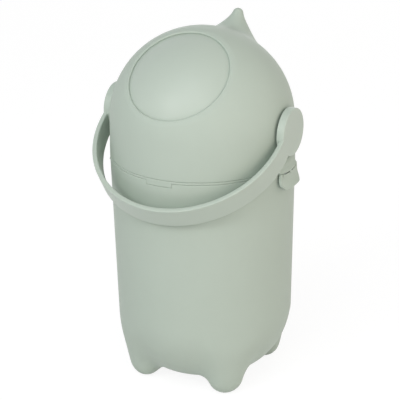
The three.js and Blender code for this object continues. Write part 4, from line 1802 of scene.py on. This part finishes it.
@dataclass
class Ball(Part):
    """The turning ball behind the opening: a closed cover, and a cup that faces down at rest."""

    around: int = 168
    cover_gap: float = 0.3
    mouth: float = 62.0
    waist: float = 59.0
    bottom: float = 55.0
    floor_rows: Place = (0.0, 15.0, 28.0)
    floor: float = -45.28
    corner: float = 22.0
    cup_wall: float = 2.2
    screw_reach: float = 104.7
    boss_radius: float = 6.0
    boss_depth: float = 18.0
    boss_end: float = 50.0
    pilot_radius: float = 1.9
    pilot_depth: float = 14.0
    seat: float = 21.5
    seat_radius: float = 3.9
    screw_radius: float = 1.6
    shank: Point = (19.8, 12.2)
    head_radius: float = 3.6
    head: Point = (2.4, 23.0)
    drive_radius: float = 1.7
    drive: Point = (1.4, 24.0)
    edge_turn: float = 0.3
    edge_inset: float = 0.4
    lip_reach: float = 5.0

    def flattened(self, profile: Outline, flats: Sequence[float]) -> Array:
        """Turns a profile round the cup's axis and flattens it at the hubs.

        Args:
            profile: Points (radius, height).
            flats: For each row, the distance of the flats from the middle.

        Returns:
            Rows of points.
        """
        rows = FIT.cup_axis().points(profile, circle_angles(self.around))
        limit = np.asarray(flats)[:, None]
        rows[..., 0] = np.clip(rows[..., 0], -limit, limit)
        return rows

    def solid(self, sections: Sequence[tuple[Outline, float]], name: str) -> Piece:
        """Makes a turned solid from sections with their own flats.

        Args:
            sections: Pairs of a profile and the distance of its flats.
            name: The piece's name.

        Returns:
            The solid.
        """
        profile = [point for points, _ in sections for point in points]
        flats = [flat for points, flat in sections for _ in points]
        draft = Draft()
        draft.grid(draft.add(self.flattened(profile, flats)))
        return draft.finish(name)

    def posts(self, profile: Outline, around: int = 32) -> Piece:
        """Four turned posts along the cup's axis, where the screws are.

        Args:
            profile: Points (radius, height) of one post.
            around: Number of columns.

        Returns:
            The posts as one solid tool.
        """
        axis = FIT.cup_axis()
        _, side, other = axis.directions()
        draft = Draft()
        for turn in circle_angles(4) + math.pi / 4:
            origin = HUB + self.screw_reach * (math.cos(turn) * side + math.sin(turn) * other)
            post = Axis(origin, axis.along, axis.side)
            draft.grid(draft.add(post.points(profile, circle_angles(around))))
        return draft.finish("tool")

    def cover(self) -> Piece:
        """Builds the closed half that fills the opening at rest.

        Returns:
            The half.
        """
        end = FIT.ball_split - self.cover_gap
        outer, inner, flat = FIT.ball_radius, FIT.ball_inner, FIT.ball_flat
        top, low = math.degrees(math.asin(end / outer)), math.degrees(math.asin(end / inner))
        skin = arc((0, 0), outer, -90, top - self.edge_turn, steps=60)
        edge = [(outer * math.cos(math.radians(top)) - self.edge_inset, end)]
        hollow = arc((0, 0), inner, low, -90, steps=40)
        skin[0], hollow[-1] = (0.0, -outer), (0.0, -inner)
        shell = self.solid([(skin + edge, flat), (hollow, flat - FIT.ball_wall)], "ball_closed_side")
        carve(shell, self.posts(plug(self.boss_radius, end - self.boss_depth, end)), Cut.JOIN)
        pilots = self.posts(plug(self.pilot_radius, end - self.pilot_depth, end + 6), around=20)
        carve(shell, pilots, Cut.TAKE)
        return key_hole(shell, -FIT.rim_radius, FIT.rim_radius)

    def cup(self) -> Piece:
        """Builds the half with the cup.

        Returns:
            The half.
        """
        outer, inner, split, thick = FIT.ball_radius, FIT.ball_inner, FIT.ball_split, self.cup_wall
        height, far = math.sqrt(outer ** 2 - self.mouth ** 2), self.mouth + self.lip_reach
        centre = (self.bottom - self.corner, self.floor + self.corner)
        bowl = [*((r, self.floor) for r in self.floor_rows), *arc(centre, self.corner, -90, 0, steps=10)]
        wall = between((self.bottom, centre[1]), (self.waist, split), (0.25, 0.5, 0.75, 1))
        wall += between((self.waist, split), (self.mouth, height), (0.2, 0.4, 0.6, 0.8))
        lip = soften([wall[-1], (self.mouth, height + 0.4, 1.1), (far, math.sqrt(outer ** 2 - far ** 2))],
                     closed=False, support=0.4)[1:]
        start = math.degrees(math.atan2(lip[-1][1], lip[-1][0]))
        end = math.degrees(math.asin(split / outer))
        skin = arc((0, 0), outer, start, end + self.edge_turn, steps=38)[1:]
        edge = [(outer * math.cos(math.radians(end)) - self.edge_inset, split)]
        top = math.degrees(math.acos((self.mouth + thick) / inner))
        hollow = arc((0, 0), inner, math.degrees(math.asin(split / inner)), top, steps=26)
        back = [(self.waist + thick, split), (self.bottom + thick, centre[1]),
                *arc(centre, self.corner + thick, 0, -90, steps=8)[1:], (0.0, self.floor - thick)]
        shell = self.solid([
            (bowl + wall + lip, math.inf), (skin + edge, FIT.ball_flat),
            (hollow, FIT.ball_flat - FIT.ball_wall), (back, math.inf)], "ball_cup_side")
        bosses = self.posts(plug(self.boss_radius, split, self.boss_end))
        ball = arc((0, 0), outer - 0.3, -90, 90, steps=60)
        ball[0], ball[-1] = (0.0, ball[0][1]), (0.0, ball[-1][1])
        carve(bosses, rod(FIT.cup_axis(), ball, around=96), Cut.KEEP)
        carve(shell, bosses, Cut.JOIN)
        carve(shell, self.posts(plug(self.seat_radius, self.seat, self.boss_end + 10)), Cut.TAKE)
        pilots = self.posts(plug(self.pilot_radius, split - 6, self.seat + 1), around=20)
        carve(shell, pilots, Cut.TAKE)
        return shell

    def screws(self) -> Piece:
        """Builds the four screws that hold the halves together.

        Returns:
            The screws as one plain piece.
        """
        pattern = Pattern("ball_screw_pattern", {
            "Count": 4, "Reach": self.screw_reach,
            "Shank Radius": self.screw_radius, "Shank Length": self.shank[0],
            "Head Radius": self.head_radius, "Head Height": self.head[0],
            "Drive Radius": self.drive_radius, "Drive Depth": self.drive[0]})
        size = pattern.size
        shank = pattern.pin(size("Shank Radius"), size("Shank Length"), around=20)
        head = pattern.pin(size("Head Radius"), size("Head Height"), around=28)
        drive = pattern.pin(size("Drive Radius"), size("Drive Depth"), around=6)
        shank, head, drive = [pattern.moved(pin, (0, 0, middle)) for pin, (_, middle) in (
            (shank, self.shank), (head, self.head), (drive, self.drive))]
        settings = {"operation": "DIFFERENCE", "solver": "EXACT"}
        cut = pattern.node("GeometryNodeMeshBoolean", settings, {"Mesh 1": head, "Mesh 2": drive})
        ring = pattern.moved(pattern.ring(), turn=(0, 0, math.pi / 4))
        screws = pattern.repeated(ring, pattern.joined(shank, cut.outputs["Mesh"]))
        return pattern.piece("ball_screws", screws, FIT.cup_axis(), Palette.shared(Palette.STEEL))

    def build(self) -> None:
        """Builds and hands over the ball."""
        self.hand_over(self.cover(), Palette.TURNER, "turner", "ball_cover")
        self.hand_over(self.cup(), Palette.TURNER, "turner", "ball_cup")
        self.hand_over(self.screws(), Palette.STEEL, "turner",
                       "ball_screw_1", "ball_screw_2", "ball_screw_3", "ball_screw_4")


@dataclass
class Handle(Part):
    """The bail handle: a flat band bent round the front, flush with a round disc at each hub."""

    reach: float = 33.5
    face: float = 129.4
    band_width: float = 29.8
    band_thickness: float = 6.2
    band_round: float = 1.7
    disc_radius: float = 30.8
    disc_inner: float = 119.4
    disc_wall: float = 3.0
    disc_round: float = 1.7
    hub_radius: float = 18.8
    rib_count: int = 6
    rib_reach: float = 23.3
    rib_length: float = 9.4
    rib_thickness: float = 2.0
    rib_overlap: float = 0.6
    socket: Point = (110.0, 126.2)
    pilot_radius: float = 2.3
    pilot: Point = (118.0, 128.3)
    bend_steps: int = 84
    crease: float = 32.0

    def band(self) -> Piece:
        """Builds the band from disc to disc.

        Returns:
            The band.
        """
        path = [(self.face, v, 1.0, 0.0) for v in np.linspace(0, self.reach, 6)[:-1]]
        for angle in np.linspace(0, math.pi, self.bend_steps + 1):
            c, s = math.cos(angle), math.sin(angle)
            path.append((self.face * c, self.reach + self.face * s, c, s))
        path += [(-self.face, v, -1.0, 0.0) for v in np.linspace(self.reach, 0, 6)[1:]]
        half, deep = self.band_width / 2, -self.band_thickness
        corners = [(0, -half), (0, half), (deep, half), (deep, -half)]
        section = soften([(*corner, self.band_round) for corner in corners], support=0.5)
        ahead = np.array(FIT.handle_ahead())
        across = np.cross(ahead, (1, 0, 0))
        rows = [[np.array([x + d * nx, 0, HUB_HEIGHT]) + (v + d * nv) * ahead + w * across
                 for d, w in section] for x, v, nx, nv in path]
        draft = Draft()
        numbers = draft.add(np.array(rows))
        draft.grid(numbers)
        draft.cap(numbers[0])
        draft.cap(numbers[-1])
        return draft.finish("bail_handle", FINE_CREASE)

    def disc(self, side: float) -> Piece:
        """Builds one hub disc, hollow towards the lid.

        Args:
            side: 1 for right, -1 for left.

        Returns:
            The disc as a tool.
        """
        outer, end = self.disc_radius, self.disc_inner
        floor, hollow = self.face - self.disc_wall, outer - self.disc_wall
        profile = soften([
            (0, self.face), (outer, self.face, self.disc_round), (outer, end, 0.5), (hollow, end, 0.5),
            (hollow, floor, 0.5), (self.hub_radius, floor, 0.5), (self.hub_radius, end, 0.4), (0, end),
        ], closed=False, support=0.5)
        return rod(FIT.hub_axis(side), profile, around=128, name="disc")

    def ribs(self, side: float, word: str) -> Piece:
        """Builds the ribs that stiffen one disc inside.

        Args:
            side: 1 for right, -1 for left.
            word: The side's name.

        Returns:
            The ribs as one plain piece.
        """
        depth = self.face - self.disc_wall - self.disc_inner + self.rib_overlap
        pattern = Pattern(f"hub_rib_pattern_{word}", {
            "Count": self.rib_count, "Reach": self.rib_reach, "Length": self.rib_length,
            "Thickness": self.rib_thickness, "Depth": depth})
        rib = pattern.block(*(pattern.size(name) for name in ("Length", "Thickness", "Depth")))
        step = FULL_TURN / Maths(pattern, pattern.size("Count"))
        turn = pattern.value("GeometryNodeInputIndex", {}, {}) * step
        turned = pattern.node("ShaderNodeCombineXYZ", {}, {"Z": turn}).outputs[0]
        ribs = pattern.repeated(pattern.ring(), rib, turned)
        middle = (side * (self.disc_inner + depth / 2), 0, HUB_HEIGHT)
        axis = Axis(middle, (side, 0, 0), FIT.handle_ahead())
        return pattern.piece(f"hub_disc_ribs_{word}", ribs, axis, Palette.shared(Palette.TURNER))

    def build(self) -> None:
        """Builds and hands over the handle."""
        handle = self.band()
        for side in SIDES.values():
            carve(handle, self.disc(side), Cut.JOIN)
        for side in SIDES.values():
            key_hole(handle, *(side * end for end in self.socket))
            pilot = rod(FIT.hub_axis(side), plug(self.pilot_radius, *self.pilot), around=24)
            carve(handle, pilot, Cut.TAKE)
        smooth(handle, self.crease)
        self.hand_over(flat_normals(handle), Palette.TURNER, "turner", "handle")
        for word, side in SIDES.items():
            self.hand_over(self.ribs(side, word), Palette.TURNER, "turner")


@dataclass
class Clips(Part):
    """The two side clips that hold the lid on the body."""

    top: float = 301.7
    foot: float = 283.3
    outer: float = 125.5
    flare: float = 5.5
    straight: float = 2.5
    thickness: float = 2.8
    thinning: float = 0.0625
    thin_below: float = 290.0
    corner: float = 9.5
    edge: float = 0.8
    spread: float = 1.4
    spread_over: float = 12.0
    rim: float = 1.5
    rim_slope: float = 0.9
    sink: float = 0.45
    cheek_columns: Outline = ((20.5, 0.3), (20.8, 0.0), (22.2, 0.0), (23.7, 0.0), (24.0, 0.3))
    cheek_heights: Point = (299.2, 304.5)
    cheek_round: float = 1.1
    hook_half: float = 15.0
    hook_reach: Point = (122.4, 127.9)
    hook_heights: Point = (283.6, 285.9)
    pin_room: Point = (0.3, 2.6)

    def face(self, height: float) -> float:
        """Returns the radius of the clip's outer face at a height."""
        high = self.top - self.straight
        return self.outer + self.flare * held((high - height) / (high - self.foot)) ** 2

    def half(self, height: float) -> float:
        """Returns half the clip's width at a height, less at its round lower corners."""
        low = max(self.foot + self.corner - height, 0.0)
        return self.wide(height) - self.corner + math.sqrt(max(self.corner ** 2 - low ** 2, 0.0))

    def wide(self, height: float) -> float:
        """Returns half the clip's width at a height, as if its corners were square."""
        return FIT.clip_width / 2 + self.spread * held((self.top - height) / self.spread_over)

    def sunk(self, across: float, height: float) -> float:
        """How far the face lies behind the plate's raised rim.

        Args:
            across: Distance from the plate's middle.
            height: Height of the point.

        Returns:
            The depth at that point.
        """
        low = self.foot + self.corner - height
        side = abs(across) - (self.wide(height) - self.corner)
        inset = self.corner - (math.hypot(low, side) if min(low, side) > 0 else max(low, side))
        share = held((inset - self.rim) / self.rim_slope)
        return self.sink * share * share * (3 - 2 * share)

    def cheeks(self, side: float) -> Piece:
        """The two arms at the plate's ends that hold the pin.

        Args:
            side: 1 for right, -1 for left.

        Returns:
            The arms as one tool.
        """
        draft = Draft()
        low, high = self.cheek_heights
        for end in (1, -1):
            columns = []
            for y, inset in self.cheek_columns[::end]:
                out, top = math.sqrt(self.outer ** 2 - y ** 2) - inset, high - inset
                back = out - self.thickness + 2 * inset
                section = soften([(out, low), (out, top, self.cheek_round), (back, top, self.cheek_round),
                                  (back, low)], steps=3)
                columns.append([(side * x, end * y, z) for x, z in section])
            draft.bar(columns)
        return draft.finish("tool")

    def plate(self, side: float, name: str) -> Piece:
        """The clip's flared plate with rounded edges.

        Args:
            side: 1 for right, -1 for left.
            name: The piece's name.

        Returns:
            The plate.
        """
        heights = [self.top, *np.linspace(self.top - 1.2, self.foot + self.corner, 8)]
        heights += [self.foot + self.corner * (1 - math.sin(a)) for a in np.radians(np.linspace(9, 90, 10))]
        shares = np.sin(np.linspace(-math.pi / 2, math.pi / 2, 33))
        front, back = [], []
        for height in heights:
            thick = self.thickness - self.thinning * max(0.0, self.thin_below - height)
            across, face = self.half(height) * shares, self.face(height)
            front.append([(side * (math.sqrt(face ** 2 - y ** 2) - self.sunk(y, height)), y, height)
                          for y in across])
            back.append([(side * math.sqrt((face - thick) ** 2 - y ** 2), y, height) for y in across])
        draft = Draft()
        outside, inside = draft.add(np.array(front)), draft.add(np.array(back))
        draft.grid(outside, wrap_columns=False)
        draft.grid(inside[:, ::-1], wrap_columns=False)
        draft.grid(np.stack([border(outside), border(inside)]))
        plate = draft.finish(name, FINE_CREASE)
        bevel = plate.modifiers.new("edges", "BEVEL")
        bevel.width = self.edge * MM
        bevel.segments = 3
        bevel.limit_method = "ANGLE"
        bevel.angle_limit = math.radians(50)
        settle(plate)
        low, high = sorted(side * reach for reach in self.hook_reach)
        foot, head = self.hook_heights
        carve(plate, brick((low, -self.hook_half, foot), (high, self.hook_half, head)), Cut.JOIN)
        carve(plate, self.cheeks(side), Cut.JOIN)
        (x, z), (gap, half) = FIT.clip_axis, self.pin_room
        pin = Axis((side * x, 0, z), (0, 1, 0), (1, 0, 0))
        carve(plate, rod(pin, plug(FIT.clip_tongue + gap, -half, half), around=64), Cut.TAKE)
        smooth(plate, FINE_CREASE)
        return flat_normals(plate)

    def build(self) -> None:
        """Builds and hands over both clips."""
        for word, side in SIDES.items():
            body = f"{word}_clip"
            self.hand_over(self.plate(side, f"clip_plate_{word}"), Palette.SHELL, body, f"clip_{word}")
            self.hand_over(KNUCKLES.build(side, f"clip_knuckles_{word}"), Palette.SHELL, body)


@dataclass
class SmallParts(Part):
    """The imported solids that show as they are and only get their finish."""

    finishes: dict[str, Finish] = field(default_factory=lambda: {
        "rim_seal": Palette.SEAL,
        "axle_left": Palette.BEARING, "axle_right": Palette.BEARING,
        "bush_left": Palette.BEARING, "bush_right": Palette.BEARING,
        "washer_left": Palette.BEARING, "washer_right": Palette.BEARING,
        "axle_screw_left": Palette.STEEL, "axle_screw_right": Palette.STEEL,
        "clip_pin_left": Palette.STEEL, "clip_pin_right": Palette.STEEL})

    def build(self) -> None:
        """Dresses the solids."""
        for node, finish in self.finishes.items():
            self.palette.dress_node(node, finish)
            log.info("%s keeps its packed shape", node)


@dataclass
class Studio:
    """Camera, light and floor of the photograph's kind."""

    camera_place: Place = (0.9435, -1.7970, 1.0765)
    right: Place = (0.8884, 0.4588, -0.0150)
    up: Place = (-0.1617, 0.3432, 0.9252)
    back: Place = (0.4296, -0.8196, 0.3791)
    lens: float = 151.16
    sensor: float = 36.0
    aim: Place = (0.0, 0.0, 0.24)
    ambient: float = 0.3
    floor_reach: float = 14.0
    floor_tone: float = 0.78
    floor_seen: float = 0.97
    glow: float = 1.1
    glow_share: float = 0.8

    def camera(self) -> None:
        """Sets the camera at the photograph's viewing angle."""
        data = bpy.data.cameras.new("camera")
        data.lens = self.lens
        data.sensor_width = self.sensor
        data.clip_start, data.clip_end = 0.05, 60.0
        camera = bpy.data.objects.new("camera", data)
        turned = Matrix([list(row) for row in zip(self.right, self.up, self.back)])
        camera.matrix_world = Matrix.Translation(Vector(self.camera_place)) @ turned.to_4x4()
        bpy.context.scene.collection.objects.link(camera)
        bpy.context.scene.camera = camera

    def lamp(self, name: str, place: Sequence[float], size: float, power: float,
             colour: Sequence[float] = (1, 1, 1)) -> None:
        """Adds one soft square lamp that faces the object.

        Args:
            name: The lamp's name.
            place: Where it stands, in metres.
            size: Its side in metres.
            power: Its power in watts.
            colour: Its colour.
        """
        data = bpy.data.lights.new(name, "AREA")
        data.shape = "SQUARE"
        data.size = size
        data.energy = power
        data.color = colour
        lamp = bpy.data.objects.new(name, data)
        facing = (Vector(self.aim) - Vector(place)).to_track_quat("-Z", "Y")
        lamp.matrix_world = Matrix.Translation(Vector(place)) @ facing.to_matrix().to_4x4()
        bpy.context.scene.collection.objects.link(lamp)

    def world(self) -> None:
        """Surrounds the object with pale light, white where it is seen or mirrored."""
        world = bpy.data.worlds.new("studio")
        world.use_nodes = True
        bpy.context.scene.world = world
        tree = Tree(world.node_tree)
        strength = tree.value("ShaderNodeMapRange", {}, {
            "Value": tree.background(), "To Min": self.ambient, "To Max": 1.0})
        light = tree.node("ShaderNodeBackground", {}, {"Color": (1, 1, 1, 1), "Strength": strength})
        tree.node("ShaderNodeOutputWorld", {}, {"Surface": light.outputs[0]})

    def floor(self) -> None:
        """Lays a plain pale floor that keeps the object's shadow."""
        mesh = bpy.data.meshes.new("floor")
        ends = [(-1, -1), (1, -1), (1, 1), (-1, 1)]
        corners = [(x * self.floor_reach, y * self.floor_reach, 0) for x, y in ends]
        mesh.from_pydata(corners, [], [(0, 1, 2, 3)])
        floor = bpy.data.objects.new("floor", mesh)
        bpy.context.scene.collection.objects.link(floor)
        graph = Graph("pale_floor")
        seen = graph.background()
        colour = graph.mixed(seen, (self.floor_tone,) * 3, (self.floor_seen,) * 3)
        matt = graph.node("ShaderNodeBsdfDiffuse", {}, {"Color": colour})
        glow = graph.node("ShaderNodeEmission", {}, {"Color": (1, 1, 1, 1), "Strength": self.glow})
        both = graph.node("ShaderNodeMixShader", {}, {
            "Fac": seen * self.glow_share, 1: matt.outputs[0], 2: glow.outputs[0]})
        mesh.materials.append(graph.surface(both))

    def build(self) -> None:
        """Sets up the studio."""
        scene = bpy.context.scene
        scene.view_settings.view_transform = "Standard"
        self.camera()
        self.world()
        self.floor()
        self.lamp("key", (-0.9, -2.7, 1.95), size=0.8, power=20.0)
        self.lamp("front", (0.9, -2.7, 1.9), size=2.4, power=20.0)
        self.lamp("top", (0.2, -2.0, 3.0), size=2.2, power=27.0, colour=(0.88, 0.92, 1.0))
        self.lamp("left", (-2.3, -1.7, 1.4), size=2.2, power=7.0)
        self.lamp("right", (2.6, -1.1, 1.0), size=2.2, power=23.0, colour=(1.0, 0.88, 0.79))
        self.lamp("side", (2.5, 1.3, 1.5), size=2.2, power=13.0, colour=(1.0, 0.94, 0.85))
        self.lamp("back", (-1.2, 2.8, 0.45), size=2.0, power=12.0)


def main() -> None:
    """Builds the bin and its studio."""
    logging.basicConfig(level=logging.INFO, format="%(message)s")
    palette = Palette()
    for part in (Base, BagRing, Lid, Ball, Handle, Clips, SmallParts):
        part(palette).build()
        log.info("%s finished", part.__name__)
    Studio().build()


if __name__ == "__main__":
    main()
